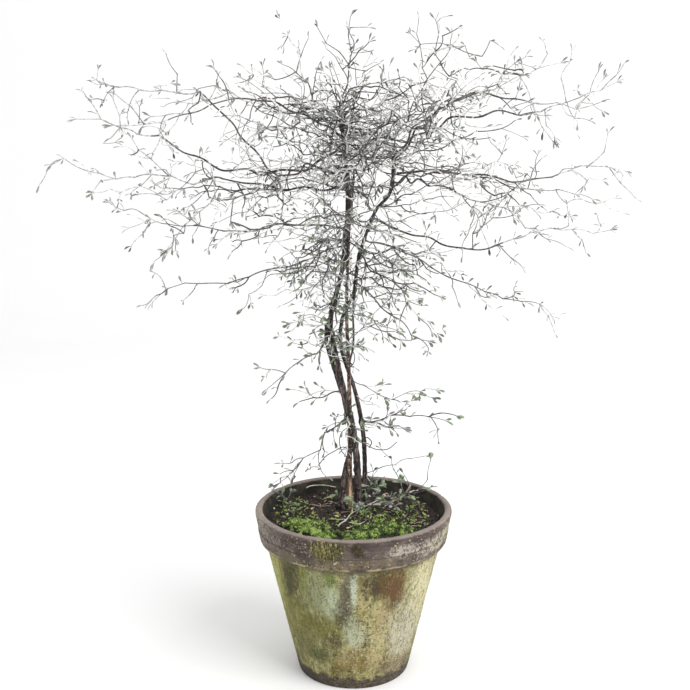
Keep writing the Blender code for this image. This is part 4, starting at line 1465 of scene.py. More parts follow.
# %% Leaves dealt out by spray
tone_draw = random.Random(SEED + 1)
INNER_LOOKS = ("dark_leaves", "dark_leaves", "grey_leaves", "silver_leaves")
OUTER_LOOKS = ("grey_leaves", "grey_leaves", "silver_leaves", "silver_leaves")
# Share of green leaves: near the soil, higher on the trunk, round the upper stems, and out in the sun
GREEN_SHARES = (0.78, 0.78, 0.4, 0.0)
# How many leaves of a spray have the look that the spray is given
MAIN_SHARE = 0.6
leaves_by_look = {look: [] for look in leaf_looks}
sprays_by_look = {look: set() for look in leaf_looks}
for name, growth in growths.items():
    inner = name.startswith("crown") or name == "tufts"
    main_look = tone_draw.choice(INNER_LOOKS if inner else OUTER_LOOKS)
    for leaf in growth.leaves:
        look = main_look if tone_draw.random() < MAIN_SHARE else tone_draw.choice(list(leaf_looks)[:3])
        in_the_sun = leaf[0].z > LEAFY_HEIGHT or reach_of(leaf[0]) > SHADE_REACH
        if tone_draw.random() < GREEN_SHARES[shade(leaf[0]) + in_the_sun]:
            look = "green_leaves"
        leaves_by_look[look].append(leaf)
        if name in MASSES:
            sprays_by_look[look].add(name)

for look, leaves in leaves_by_look.items():
    mesh = joined_leaves(look, leaves, tone_draw)
    piece = new_piece(look, mesh, "foliage", [leaf_looks[look], silver_felt], sorted(sprays_by_look[look]))
    print(look, len(leaves), "leaves,", triangles(piece), "triangles")

# %% [markdown]
# The pot. A clay pot is thrown on a wheel, so it is a profile turned about its axis: a body that widens
# evenly, a thick band with a rolled lip, and a wall inside. The profile is drawn with the groove under the
# lip and the ledge low on the band. Then each point moves in or out a little: fine ridges from the potter's
# fingers, pits where frost took the skin off, chips on the lip, and lime crust on the right side.

# %% The pot's outline
LIP_GROOVE = 0.0085
# A fine line turned into the band: its heights and how far each is cut in
BAND_LINE_CUT = ((0.2125, 0.0001), (0.2132, 0.0007), (0.2141, 0.0001))
BAND_LEDGE = 0.1985
RING_STEP = 0.0016
TURN_STEPS = 240


def inner_radius(height):
    share = (height - FLOOR_THICKNESS) / (RIM_HEIGHT - 0.003 - FLOOR_THICKNESS)
    return FLOOR_INNER_RADIUS + (MOUTH_RADIUS - FLOOR_INNER_RADIUS) * share


def band_radius(height):
    low, high = BAND_FOOT_HEIGHT + 0.0035, RIM_HEIGHT - 0.0105
    low_radius, high_radius = BAND_FOOT_RADIUS + 0.0014, RIM_RADIUS - 0.0008
    return low_radius + (high_radius - low_radius) * (height - low) / (high - low)


def near(radius, height, *steps):
    """Points given by their small steps outwards and upwards from one place on the outline."""
    return [(radius + out, height + up) for out, up in steps]


ledge_radius = band_radius(BAND_LEDGE)
body_line = [
    (0, 0), *near(BASE_RADIUS, 0, (-0.0022, 0), (-0.0006, 0.0006), (0.0004, 0.0024)),
    *near(NECK_RADIUS, BAND_FOOT_HEIGHT, (-0.0002, -0.0016)),
]
band_line = [
    *near(NECK_RADIUS, BAND_FOOT_HEIGHT, (0.0012, -0.001)),
    *near(BAND_FOOT_RADIUS, BAND_FOOT_HEIGHT, (-0.001, -0.0006), (0.0004, 0.0006), (0.0014, 0.003)),
    *near(ledge_radius, BAND_LEDGE, (0.0003, 0), (-0.0004, 0.0007)),
    *[(band_radius(height) - cut, height) for height, cut in BAND_LINE_CUT],
    *near(RIM_RADIUS, RIM_HEIGHT - LIP_GROOVE, (-0.0014, -0.0006), (-0.0013, 0)),
    *near(RIM_RADIUS, RIM_HEIGHT, (-0.0003, -0.0074), (0, -0.005), (-0.0006, -0.0026), (-0.0022, -0.001)),
    *near(RIM_RADIUS, RIM_HEIGHT, (-0.0045, -0.0001)),
    *near(MOUTH_RADIUS, RIM_HEIGHT, (0.003, -0.0002), (0.001, -0.0012), (0, -0.0032)),
]
wall_line = [(inner_radius(height), height) for height in (0.21, 0.19, 0.14)]
wall_line += [(FLOOR_INNER_RADIUS, FLOOR_THICKNESS), (0, FLOOR_THICKNESS)]


def densified(line, step):
    """The same line with points no further apart than a step."""
    points = [line[0]]
    for a, b in zip(line, line[1:]):
        pieces = max(1, math.ceil(math.dist(a, b) / step))
        points += [(a[0] + (b[0] - a[0]) * k / pieces, a[1] + (b[1] - a[1]) * k / pieces)
                   for k in range(1, pieces + 1)]
    return points


body_rings = densified(body_line, RING_STEP)
band_rings = densified(band_line, RING_STEP)
wall_rings = densified(wall_line, RING_STEP * 4)
pot_rings = body_rings + band_rings + wall_rings
print("rings of the pot:", len(pot_rings), "points round:", TURN_STEPS)

# %% Wear of the pot
# Chips on the lip: bearing in degrees, half width in degrees, depth
LIP_CHIPS = ((262, 3.0, 0.0011), (236, 1.6, 0.0007), (291, 2.2, 0.0006), (318, 1.4, 0.0008),
             (205, 2.4, 0.0007), (20, 2.0, 0.0009), (75, 3.2, 0.001), (140, 2.0, 0.0008))
# A nub of clay on the band: bearing, height and how far it stands out
NUB = (2, 0.2052, 0.0011)
NUB_HALF_WIDTH = 0.9
NUB_HALF_HEIGHT = 0.0016


def smooth_step(low, high, value):
    share = min(1, max(0, (value - low) / (high - low)))
    return share * share * (3 - 2 * share)


# Depths of the potter's ridges, the waves, the grit, the pits, the lime crust and the inside's waves
RIDGE_DEPTH = 0.00032
WAVE_DEPTH = 0.00055
GRIT_DEPTH = 0.00016
PIT_DEPTH = 0.00075
CRUST_DEPTH = 0.0006
INSIDE_DEPTH = 0.0005
# From which noise to which each of them comes in, and how far to the right the crust does
PIT_STEP = (0.28, 0.62)
CRUST_STEP = (-0.1, 0.35)
CHIP_STEP = (-0.3, 0.3)
CRUST_SIDE = (0.02, 0.09)
CHIPPED_HEIGHT = RIM_HEIGHT - 0.012


def hump(off, half_width, up=0):
    """1 in the middle of a hump, falling to 0 round it."""
    off = (off + 180) % 360 - 180
    return math.exp(-(off / half_width) ** 2 - up ** 2)


def wear(spot, bearing):
    """How far the outside of the pot stands out at a place."""
    out = RIDGE_DEPTH * noise.noise(Vector((0.0, 3.1, spot.z * 330)))
    out += WAVE_DEPTH * noise.noise(Vector((spot.x * 9, spot.y * 9, spot.z * 5)))
    out += GRIT_DEPTH * noise.noise(spot * 520)
    out -= PIT_DEPTH * smooth_step(*PIT_STEP, noise.noise(spot * 150 + Vector((5, 0, 0))))
    crusted = smooth_step(*CRUST_SIDE, spot.x) * smooth_step(*CRUST_STEP, noise.noise(spot * 60))
    out += CRUST_DEPTH * crusted * abs(noise.noise(spot * 340))
    if spot.z > CHIPPED_HEIGHT:
        for chip, half_width, depth in LIP_CHIPS:
            crumbled = smooth_step(*CHIP_STEP, noise.noise(spot * 230))
            out -= depth * hump(bearing - chip, half_width) * crumbled
    return out + NUB[2] * hump(bearing - NUB[0], NUB_HALF_WIDTH, (spot.z - NUB[1]) / NUB_HALF_HEIGHT)


def pot_mesh():
    points, faces, zones = [], [], []
    lines = np.array(pot_rings)
    slope = np.gradient(lines, axis=0)
    slope /= np.linalg.norm(slope, axis=1)[:, None]
    outside = len(body_rings) + len(band_rings)
    for k, (radius, height) in enumerate(pot_rings):
        for j in range(TURN_STEPS):
            turn = j / TURN_STEPS * math.tau
            spot = polar(turn, radius, height)
            out = wear(spot, math.degrees(turn)) if 0.0008 < height and k < outside else 0
            if k >= outside and height > FLOOR_THICKNESS:
                out = INSIDE_DEPTH * noise.noise(spot * 90)
            spot.x += math.cos(turn) * slope[k, 1] * out
            spot.y += math.sin(turn) * slope[k, 1] * out
            spot.z -= slope[k, 0] * out
            points.append(spot)
    for k in range(len(pot_rings) - 1):
        zone = 0 if k < len(body_rings) - 1 else 1 if k < outside - 1 else 2
        faces += faces_from(k * TURN_STEPS, TURN_STEPS)
        zones += [zone] * TURN_STEPS
    mesh = mesh_of("worn_pot", points, faces, zones)
    work = bmesh.new()
    work.from_mesh(mesh)
    bmesh.ops.remove_doubles(work, verts=work.verts, dist=0.000002)
    work.to_mesh(mesh)
    work.free()
    return mesh


# %% [markdown]
# The skin of the pot tells its age. Clay sweats salts and grows algae, so the body has soft vertical
# streaks: olive on the side away from the sun, pale mint bloom in the middle, and cream lime on the right.
# Each of these is a ragged patch laid over plain clay, then fine specks are laid over all of it. The band
# stays drier, so it is purple-brown with lichen specks and an edge of lime.

# %% Patches for the finishes
PATCH_EDGE = (1.42, 0.4)
FRAY_SCALE = 4.5
FRAY_SHARE = 1.2


class ClayFinish(Finish):
    def torn(self, scale, detail, depth):
        """Noise that makes an edge ragged: it goes about this far up and down."""
        return self.times(self.math("SUBTRACT", self.noise(scale, detail), 0.5), depth * 2)

    def patch(self, centre, radii, ragged=0.9, grain=(95, 95, 34)):
        """1 inside an egg-shaped place in mm and 0 outside it, with a ragged edge."""
        scale = [1 / r for r in metres(radii)]
        shift = [-c * s for c, s in zip(metres(centre), scale)]
        inputs = {"Vector": self.place, "Location": shift, "Scale": scale}
        local = self.node("ShaderNodeMapping", inputs).outputs[0]
        away = self.node("ShaderNodeVectorMath", {0: local}, operation="LENGTH").outputs["Value"]
        away = self.plus(away, self.torn(grain, 6.0, ragged))
        fray = self.torn(tuple(value * FRAY_SCALE for value in grain), 6.0, ragged * FRAY_SHARE)
        return self.ramp(self.plus(away, fray), *PATCH_EDGE)

    def level(self, low, high, soft, ragged=0.0, grain=60.0):
        """1 between two heights and 0 beyond them."""
        height = self.axis("Z")
        if ragged:
            height = self.plus(height, self.torn(grain, 4.0, ragged))
        rise = self.ramp(height, low - soft, low + soft)
        return self.times(rise, self.ramp(height, high + soft, high - soft))


# %% Finish of the body
body = ClayFinish("weathered_clay", 0.92)
fine_grain = body.noise(330.0, 6.0)
coarse_grain = body.noise(75.0, 6.0)
body.ground((0.16, 0.148, 0.048), (0.36, 0.34, 0.15), body.ramp(coarse_grain, 0.38, 0.62))
body.lay((0.085, 0.074, 0.022), body.mottle((85, 85, 12), 5.0, 0.5, 0.66))

# Marks on the body: colour, place and size in each direction in mm, and how much of the ground they hide
BODY_MARKS = (
    ((0.19, 0.184, 0.044), (-95, -40, 110), (45, 60, 90), 0.75),
    ((0.4, 0.4, 0.14), (-104, -12, 115), (14, 80, 110), 0.9),
    ((0.045, 0.041, 0.012), (-79, -72, 155), (14, 30, 36), 0.9),
    ((0.15, 0.18, 0.02), (-63, -92, 158), (6, 20, 22), 0.8),
    ((0.24, 0.26, 0.14), (-42, -100, 140), (22, 30, 42), 0.8),
    ((0.4, 0.45, 0.3), (-29, -104, 136), (9, 20, 34), 0.8),
    ((0.11, 0.15, 0.02), (-30, -110, 166), (9, 20, 13), 0.85),
    ((0.1, 0.084, 0.062), (-9, -106, 140), (9, 30, 46), 0.85),
    ((0.45, 0.49, 0.37), (0, -110, 150), (5, 20, 32), 0.9),
    ((0.4, 0.33, 0.14), (12, -104, 130), (8, 20, 44), 0.8),
    ((0.38, 0.29, 0.14), (34, -94, 110), (14, 30, 30), 0.65),
    ((0.055, 0.033, 0.013), (30, -107, 160), (20, 30, 22), 0.95),
    ((0.06, 0.09, 0.015), (37, -106, 166), (6, 20, 7), 0.8),
    ((0.56, 0.515, 0.31), (88, -56, 128), (26, 50, 64), 0.9),
    ((0.105, 0.046, 0.013), (50, -97, 152), (16, 30, 38), 0.97),
    ((0.44, 0.405, 0.3), (64, -66, 76), (24, 40, 48), 0.9),
    ((0.19, 0.14, 0.09), (54, -60, 26), (24, 30, 13), 0.75),
    ((0.145, 0.134, 0.024), (-48, -83, 92), (34, 30, 19), 0.9),
    ((0.07, 0.056, 0.018), (-24, -89, 74), (14, 30, 12), 0.85),
    ((0.14, 0.128, 0.05), (-60, -62, 54), (20, 40, 26), 0.75),
    ((0.06, 0.07, 0.022), (-42, -74, 48), (13, 30, 15), 0.85),
    ((0.4, 0.42, 0.29), (0, -95, 84), (13, 20, 26), 0.85),
    ((0.2, 0.14, 0.045), (4, -84, 42), (36, 30, 20), 0.65),
    ((0.4, 0.33, 0.17), (30, -83, 60), (12, 30, 30), 0.7),
    ((0.13, 0.12, 0.05), (55, 95, 110), (60, 50, 70), 0.7),
    ((0.42, 0.41, 0.28), (-50, 95, 100), (40, 50, 60), 0.6),
)
for colour, centre, radii, share in BODY_MARKS:
    body.lay(colour, body.patch(centre, radii), share)

rusty = body.patch((41, -102, 156), (32, 40, 38))
limy = body.times(body.ramp(body.axis("X"), -0.085, 0.03), body.ramp(rusty, 1.15, 0.0))
white_grains = body.times(body.ramp(fine_grain, 0.56, 0.64), 0.6)
cracked = body.patch((16, -98, 105), (7, 30, 60))
ochre = body.patch((5, -82, 40), (55, 40, 34))
heel = body.patch((-60, -45, 8), (24, 40, 12))
foot_clay = body.over((0.035, 0.025, 0.018), (0.11, 0.086, 0.06), body.ramp(fine_grain, 0.42, 0.62))
body.lay((0.062, 0.052, 0.02), body.mottle((260, 260, 45), 4.0, 0.52, 0.66), 0.6)
body.lay((0.15, 0.165, 0.03), body.mottle(120.0, 4.0, 0.54, 0.66), 0.4)
body.lay((0.56, 0.55, 0.4), body.times(white_grains, limy))
body.lay((0.03, 0.024, 0.011), body.mottle(380.0, 4.0, 0.56, 0.64), 0.8)
body.lay((0.035, 0.026, 0.012), body.times(body.mottle(170.0, 4.0, 0.54, 0.6), cracked), 0.85)
body.lay((0.44, 0.29, 0.08), body.times(body.mottle(300.0, 3.0, 0.58, 0.68), ochre))
# Darker just under the band: painted shade of its overhang, with algae that has run down from it.
body.lay((0.085, 0.07, 0.035), body.level(0.176, 0.2, 0.005, 0.01), 0.75)
body.lay(foot_clay, body.level(-0.02, 0.0168, 0.003, 0.012, 75.0), 0.96)
body.lay((0.045, 0.036, 0.028), heel, 0.9)
weathered_clay = body.finish(body.plus(fine_grain, body.times(coarse_grain, 0.8)), 0.0012, 0.8)

# %% Finish of the band
band = ClayFinish("band_clay", 0.88)
turned_lines = band.noise((7, 7, 520), 3.0)
band_grain = band.noise(240.0, 6.0)
band.ground((0.055, 0.038, 0.034), (0.115, 0.084, 0.074), band.mottle(48.0, 5.0, 0.38, 0.66))
band.lay((0.032, 0.023, 0.02), band.ramp(turned_lines, 0.52, 0.66), 0.65)
band.lay((0.23, 0.185, 0.165), band.mottle((60, 60, 260), 4.0, 0.56, 0.68), 0.4)

# Marks on the band: colour, place and size in each direction in mm, and how much of the ground they hide
BAND_MARKS = (
    ((0.13, 0.122, 0.042), (-33, -125, 205), (15, 20, 18), 0.85),
    ((0.075, 0.082, 0.02), (-24, -126, 211), (11, 20, 18), 0.85),
    ((0.055, 0.042, 0.018), (3, -128, 209), (5, 20, 18), 0.9),
    ((0.23, 0.205, 0.07), (-44, -121, 208), (6, 20, 10), 0.55),
    ((0.16, 0.13, 0.06), (40, -118, 194), (50, 20, 10), 0.6),
    ((0.19, 0.15, 0.07), (-20, -124, 188), (26, 20, 7), 0.65),
    ((0.44, 0.4, 0.33), (60, -110, 205), (24, 30, 9), 0.75),
    ((0.47, 0.43, 0.33), (104, -72, 200), (28, 40, 11), 0.8),
    ((0.44, 0.42, 0.27), (121, -30, 205), (12, 40, 16), 0.75),
    ((0.3, 0.26, 0.22), (-112, -50, 207), (34, 50, 24), 0.6),
    ((0.38, 0.34, 0.27), (-124, -10, 218), (20, 60, 12), 0.75),
    ((0.11, 0.11, 0.045), (-85, -92, 190), (30, 30, 8), 0.6),
    ((0.13, 0.125, 0.055), (20, 124, 205), (50, 20, 18), 0.65),
)
crumbly = band.mottle(230.0, 5.0, 0.38, 0.54)
for colour, centre, radii, share in BAND_MARKS:
    band.lay(colour, band.times(band.patch(centre, radii, 1.1, (120, 120, 90)), crumbly), share)

lichen = band.times(band.mottle(360.0, 2.0, 0.6, 0.67), band.mottle(34.0, 3.0, 0.42, 0.62))
band.lay((0.48, 0.43, 0.25), lichen)
band.lay((0.04, 0.032, 0.024), band.mottle(420.0, 3.0, 0.61, 0.7), 0.6)
lime_edge = band.level(0.183, 0.1856, 0.0008, 0.0022, 150.0)
band.lay((0.42, 0.34, 0.19), band.times(lime_edge, band.mottle(46.0, 4.0, 0.4, 0.62)), 0.8)
groove = band.level(RIM_HEIGHT - 0.0093, RIM_HEIGHT - 0.0081, 0.0005)
ledge = band.level(BAND_LEDGE + 0.0002, BAND_LEDGE + 0.0012, 0.0004)
for dark_line in (groove, ledge):
    band.lay((0.05, 0.038, 0.032), dark_line, 0.75)
# A paler top of the lip: a painted highlight along the rolled lip.
band.lay((0.31, 0.262, 0.232), band.level(RIM_HEIGHT - 0.0022, RIM_HEIGHT + 0.01, 0.0012), 0.68)
band_clay = band.finish(band.plus(band_grain, band.times(turned_lines, 0.7)), 0.0009, 0.75)

# %% Finish of the inner wall
wall = Finish("inner_clay", 0.95)
# The inside is very dark: the clay's own dark tone and painted shade inside the pot.
wall.ground((0.013, 0.011, 0.008), (0.05, 0.045, 0.028), wall.mottle(60.0, 5.0, 0.4, 0.66))
inner_clay = wall.finish(wall.noise(260.0, 5.0), 0.001, 0.7)

pot_piece = new_piece("worn_pot", pot_mesh(), "clay", [weathered_clay, band_clay, inner_clay], ["pot"])
pot_piece.data.set_sharp_from_angle(angle=math.radians(60))
print("pot triangles:", triangles(pot_piece))

# %% [markdown]
# The soil. Potting soil is dark crumbs with a few white grains of perlite, bits of bark and fallen leaves.
# The ground is one closed mound that follows the solid soil, pushed up and down by noise. The crumbs lie on
# it as joined lumps: one lump of twenty faces is pulled out of round, turned, scaled and copied.

# %% The mound
MOUND_RINGS = 84
MOUND_STEPS = 200
WALL_GAP = 1.1 * GAP
GROUND_SINK = 0.0006
SOIL_ROUGH = ((52, 0.002), (150, 0.0013), (400, 0.0007))


def soil_height(radius):
    share = max(0, radius - MOUND_RADIUS) / (inner_radius(SOIL_EDGE_HEIGHT) - MOUND_RADIUS)
    return MOUND_HEIGHT + (SOIL_EDGE_HEIGHT - MOUND_HEIGHT) * share


def ground(x, y):
    """The height of the rough soil at a place."""
    height = soil_height(math.hypot(x, y)) - GROUND_SINK
    for scale, depth in SOIL_ROUGH:
        height += depth * noise.noise(Vector((x * scale, y * scale, 2.0)))
    return height


def on_ground(x, y, up=0.0):
    return x, y, ground(x, y) + up


def mound_mesh():
    edge = inner_radius(SOIL_EDGE_HEIGHT) - WALL_GAP
    points, faces = [on_ground(0, 0)], []
    for k in range(1, MOUND_RINGS + 1):
        for j in range(MOUND_STEPS):
            turn = j / MOUND_STEPS * math.tau
            reach = edge * k / MOUND_RINGS
            points.append(on_ground(reach * math.cos(turn), reach * math.sin(turn)))
    foot = FLOOR_THICKNESS + GAP
    foot_radius = inner_radius(foot) - WALL_GAP
    points += [polar(j / MOUND_STEPS * math.tau, foot_radius, foot) for j in range(MOUND_STEPS)]
    for j in range(MOUND_STEPS):
        n = (j + 1) % MOUND_STEPS
        faces.append((0, 1 + j, 1 + n))
        for k in range(MOUND_RINGS):
            low, high = 1 + k * MOUND_STEPS, 1 + (k + 1) * MOUND_STEPS
            faces.append((low + j, high + j, high + n, low + n))
    last = 1 + MOUND_RINGS * MOUND_STEPS
    faces.append(tuple(last + j for j in reversed(range(MOUND_STEPS))))
    return mesh_of("mound", points, faces)


earth = Finish("earth", 0.95)
earth_grain = earth.noise(300.0, 6.0)
earth.ground((0.008, 0.006, 0.005), (0.042, 0.03, 0.022), earth.ramp(earth_grain, 0.4, 0.66))
earth.lay((0.11, 0.075, 0.048), earth.mottle(520.0, 3.0, 0.62, 0.7), 0.8)
earth_look = earth.finish(earth_grain, 0.0016, 0.9)
new_piece("soil_ground", mound_mesh(), "soil", [earth_look], ["soil"])

# %% Lumps of soil, perlite and bark
CRUMBS = 2600
BARK_BITS = 420
SMALL_GRAINS = 46
UNEVEN = (0.75, 1.3)
PERLITE_RIGHT = 0.0023
PERLITE_LEFT = 0.0013
# Where single large grains lie, in mm
PERLITE_PLACES = (
    (23, 73), (29, 68), (34, 62), (44, 83), (54, 66), (44, 30), (50, 20), (-108, 36), (-79, 26), (-88, 4),
    (30, 90),
)


def lump_template(subdivisions):
    work = bmesh.new()
    bmesh.ops.create_icosphere(work, subdivisions=subdivisions, radius=1)
    points = as_array([v.co for v in work.verts])
    faces = [tuple(v.index for v in face.verts) for face in work.faces]
    work.free()
    return points, faces


def random_turn(draw):
    basis = Matrix.Rotation(any_turn(draw), 3, "X") @ Matrix.Rotation(any_turn(draw), 3, "Z")
    return as_array(basis)


def lumps_piece(name, lumps, shape, template, look, draw):
    """Lumps pulled out of round, turned and joined in one mesh."""
    points, faces = template
    copies = []
    for at, size in lumps:
        uneven = np.array([[draw.uniform(*UNEVEN)] for _ in points])
        shaped = points * uneven * np.array(shape) * size
        copies.append(shaped @ random_turn(draw) + np.array(at))
    return new_piece(name, joined(name, copies, faces), "soil", [look])


def on_disc(draw, furthest):
    """A random place on a disc round the pot's axis."""
    turn, reach = any_turn(draw), furthest * math.sqrt(draw.random())
    return reach * math.cos(turn), reach * math.sin(turn)


def scattered(count, draw, furthest=0.113, sunk=0.3, sizes=(0.0008, 0.0024)):
    """Places and sizes of lumps that lie on the soil with a share of their size under it."""
    lumps = []
    for _ in range(count):
        x, y = on_disc(draw, furthest)
        size = draw.uniform(*sizes) * draw.uniform(0.6, 1.0)
        lumps.append((on_ground(x, y, size * (1 - 2 * sunk) * 0.5), size))
    return lumps


litter_draw = random.Random(SEED + 2)
small_lump, round_lump = lump_template(1), lump_template(2)
crumb_look = mottled("crumb", (0.009, 0.007, 0.006), (0.052, 0.035, 0.025))
brown_look = mottled("brown_crumb", (0.038, 0.022, 0.014), (0.15, 0.09, 0.058))
perlite_look = mottled("perlite", (0.5, 0.47, 0.43), (0.78, 0.76, 0.72))

lumps_piece("crumbs", scattered(CRUMBS, litter_draw), (1.2, 1.0, 0.8), small_lump, crumb_look, litter_draw)
bits = scattered(BARK_BITS, litter_draw, sizes=(0.001, 0.0028))
lumps_piece("bark_bits", bits, (1.9, 0.8, 0.45), small_lump, brown_look, litter_draw)
grains = scattered(SMALL_GRAINS, litter_draw, furthest=0.105, sunk=0.1, sizes=(0.0007, 0.0015))
for x, y in map(metres, PERLITE_PLACES):
    grains.append((on_ground(x, y, 0.001), PERLITE_RIGHT if x > 0 else PERLITE_LEFT))
lumps_piece("perlite_grains", grains, (1.1, 1.0, 0.8), round_lump, perlite_look, litter_draw)
print("grains of perlite:", len(grains))

# %% [markdown]
# Moss. It grows in low cushions where the front wall keeps the soil damp, and single tufts have spread over
# the soil round them. A cushion is a flattened ball with a rough skin, sunk in the soil. The tufts on it
# are made of six narrow spikes each, and they thin out towards the edge of the cushion.

# %% Moss
# Each cushion as in the solids: bearing, reach, half length, half width and height
MOSS_CUSHIONS = ((226, 0.082, 0.042, 0.021, 0.008), (262, 0.088, 0.036, 0.016, 0.007),
                 (296, 0.08, 0.045, 0.024, 0.008))
TUFT_SPIKES = 6
TUFT_COUNT = 3200
TUFT_SIZES = (0.002, 0.005)
STRAY_SIZES = (0.0016, 0.004)
BRIGHT_SHARE = 0.62
CUSHION_WEIGHTS = (1.5, 0.8, 1.0)
SPIKE_LEANS = (0.25, 1.15)
SPIKE_LENGTHS = (0.7, 1.2)
SPIKE_WIDTH = 0.24
TUFT_SINK = 0.0006
CUSHION_ROUGH = ((120, 0.16), (380, 0.1))
BARE_CLUMP = -0.06
# How thick a clump is where the bright moss begins, on the left and further right
BRIGHT_CLUMP = (0.12, 0.28)
# Patches of single tufts on the soil: x, y and radius in mm, and their number
STRAY_PATCHES = (
    (-92, 20, 26, 150), (-74, -20, 26, 260), (-58, -52, 22, 200), (-30, -30, 22, 70), (18, -40, 34, 380),
    (52, -34, 30, 280), (82, -14, 24, 120), (86, 30, 20, 40), (30, -6, 18, 70), (-84, 70, 18, 50),
    (-10, 98, 30, 40), (60, 80, 26, 40),
)


def cushion_place(cushion, across, along, lift=1.0):
    """A point on a cushion, from -1 to 1 across and along it."""
    bearing, reach, half_length, half_width, height = cushion
    centre = place(bearing, reach, 0)
    turn = math.radians(bearing)
    x = centre.x + across * half_width * math.cos(turn) - along * half_length * math.sin(turn)
    y = centre.y + across * half_width * math.sin(turn) + along * half_length * math.cos(turn)
    up = max(0, 1 - across ** 2 - along ** 2) ** 0.5
    return Vector((x, y, soil_height(math.hypot(x, y)) + up * height * lift))


def cushion_mesh():
    points, faces = [], []
    for cushion in MOSS_CUSHIONS:
        work = bmesh.new()
        bmesh.ops.create_uvsphere(work, u_segments=72, v_segments=36, radius=1)
        base = len(points)
        for v in work.verts:
            middle = cushion_place(cushion, v.co.x, v.co.y, 0)
            height = cushion[4] * v.co.z * (1 if v.co.z > 0 else 0.5)
            rough = 1
            for scale, depth in CUSHION_ROUGH:
                rough += depth * noise.noise(middle * scale)
            points.append(Vector((middle.x, middle.y, middle.z + height * rough - 0.0004)))
        faces += [tuple(base + v.index for v in face.verts) for face in work.faces]
        work.free()
    return mesh_of("moss_bed", points, faces)


def tuft_mesh(name, tufts, draw):
    points, faces = [], []
    for at, size in tufts:
        for k in range(TUFT_SPIKES):
            turn = any_turn(draw)
            lean = draw.uniform(*SPIKE_LEANS) if k else 0.1
            out = polar(turn, math.sin(lean), math.cos(lean))
            tip = at + out * size * draw.uniform(*SPIKE_LENGTHS)
            base = len(points)
            for j in range(3):
                corner = square_to(out, turn + j * math.tau / 3) * size * SPIKE_WIDTH
                points.append(at + out * size * 0.35 + corner)
            points += [tip, at]
            for j in range(3):
                n = (j + 1) % 3
                faces += [(base + j, base + n, base + 3), (base + n, base + j, base + 4)]
    return mesh_of(name, points, faces)


moss_draw = random.Random(SEED + 3)
tufts = {"bright": [], "deep": []}
while len(tufts["bright"]) + len(tufts["deep"]) < TUFT_COUNT:
    cushion = moss_draw.choices(MOSS_CUSHIONS, CUSHION_WEIGHTS)[0]
    across, along = moss_draw.uniform(-1.1, 1.1), moss_draw.uniform(-1.1, 1.1)
    if across ** 2 + along ** 2 > moss_draw.uniform(0.75, 1.2):
        continue
    at = cushion_place(cushion, across, along)
    if reach_of(at) > inner_radius(at.z) - 0.0015:
        continue
    clump = noise.noise(at * 75) + 0.7 * noise.noise(at * 230)
    if clump < BARE_CLUMP:
        continue
    kind = "bright" if clump + moss_draw.gauss(0, 0.2) > BRIGHT_CLUMP[at.x >= -0.03] else "deep"
    tufts[kind].append((at - UP * TUFT_SINK, moss_draw.uniform(*TUFT_SIZES)))
for *patch, count in STRAY_PATCHES:
    x, y, radius = metres(patch)
    for _ in range(count):
        at = Vector((moss_draw.gauss(x, radius / 1.8), moss_draw.gauss(y, radius / 1.8), 0))
        if reach_of(at) > inner_radius(SOIL_EDGE_HEIGHT) - 0.003:
            continue
        if noise.noise(Vector((at.x * 110, at.y * 110, 4.0))) < 0.02:
            continue
        at.z = ground(at.x, at.y)
        kind = "bright" if moss_draw.random() < BRIGHT_SHARE else "deep"
        tufts[kind].append((at, moss_draw.uniform(*STRAY_SIZES)))

moss_bed = mottled("moss_bed", (0.01, 0.01, 0.006), (0.036, 0.04, 0.014), 0.95, 300.0)
bright_moss = mottled("bright_moss", (0.15, 0.245, 0.038), (0.46, 0.6, 0.165), 0.8, 200.0)
deep_moss = mottled("deep_moss", (0.014, 0.024, 0.006), (0.08, 0.125, 0.024), 0.8, 200.0)
new_piece("moss_bed", cushion_mesh(), "moss", [moss_bed], ["moss"])
for kind, look in (("bright", bright_moss), ("deep", deep_moss)):
    piece = new_piece(kind + "_tufts", tuft_mesh(kind, tufts[kind], moss_draw), "moss", [look], ["moss"])
    print(kind, len(tufts[kind]), "tufts,", len(piece.data.polygons), "triangles")

# %% [markdown]
# Where the moss reaches the front wall, dead strands of it hang over the lip and lie on the band. Each is a
# fine wavy line that starts on the lip and keeps a hair's breadth off the clay.

# %% Strands over the lip
# Each bunch: its place across the front, how far it spreads, the lowest end and the number of strands
LIP_BUNCHES = ((-0.04, 0.006, 0.197, 46), (-0.03, 0.005, 0.193, 44), (0.003, 0.003, 0.2, 34),
               (-0.018, 0.006, 0.212, 12))
STRAND_STEP = 0.0018
STRAND_WAVE = 0.0005
STRAND_RADII = (0.00042, 0.00024)
OFF_THE_CLAY = (0.0003, 0.0012)


def on_the_band(x, height, off):
    """A point a little off the outside of the band, on the front."""
    radius = (RIM_RADIUS if height > RIM_HEIGHT - 0.01 else band_radius(height)) + off
    return Vector((x, -math.sqrt(radius ** 2 - x ** 2), height))


lip_strands = {"straw_strands": [], "brown_strands": []}
for middle, spread, lowest, count in LIP_BUNCHES:
    for _ in range(count):
        x, height = moss_draw.gauss(middle, spread), RIM_HEIGHT - moss_draw.uniform(0.001, 0.012)
        low = moss_draw.uniform(lowest, height - 0.004)
        sway, points = moss_draw.uniform(-0.25, 0.25), []
        while height > low:
            points.append(on_the_band(x, height, moss_draw.uniform(*OFF_THE_CLAY)))
            height -= STRAND_STEP
            x += STRAND_STEP * sway + moss_draw.gauss(0, STRAND_WAVE)
        if len(points) > 2:
            kind = "brown_strands" if middle > 0 or moss_draw.random() < 0.35 else "straw_strands"
            lip_strands[kind].append((as_array(points), np.linspace(*STRAND_RADII, len(points))))
strand_looks = {"straw_strands": mottled("straw_strand", (0.18, 0.16, 0.045), (0.42, 0.38, 0.15)),
                "brown_strands": mottled("brown_strand", (0.04, 0.03, 0.012), (0.12, 0.09, 0.04))}
for kind, look in strand_looks.items():
    new_piece(kind, sweep(kind, lip_strands[kind]), "moss", [look])
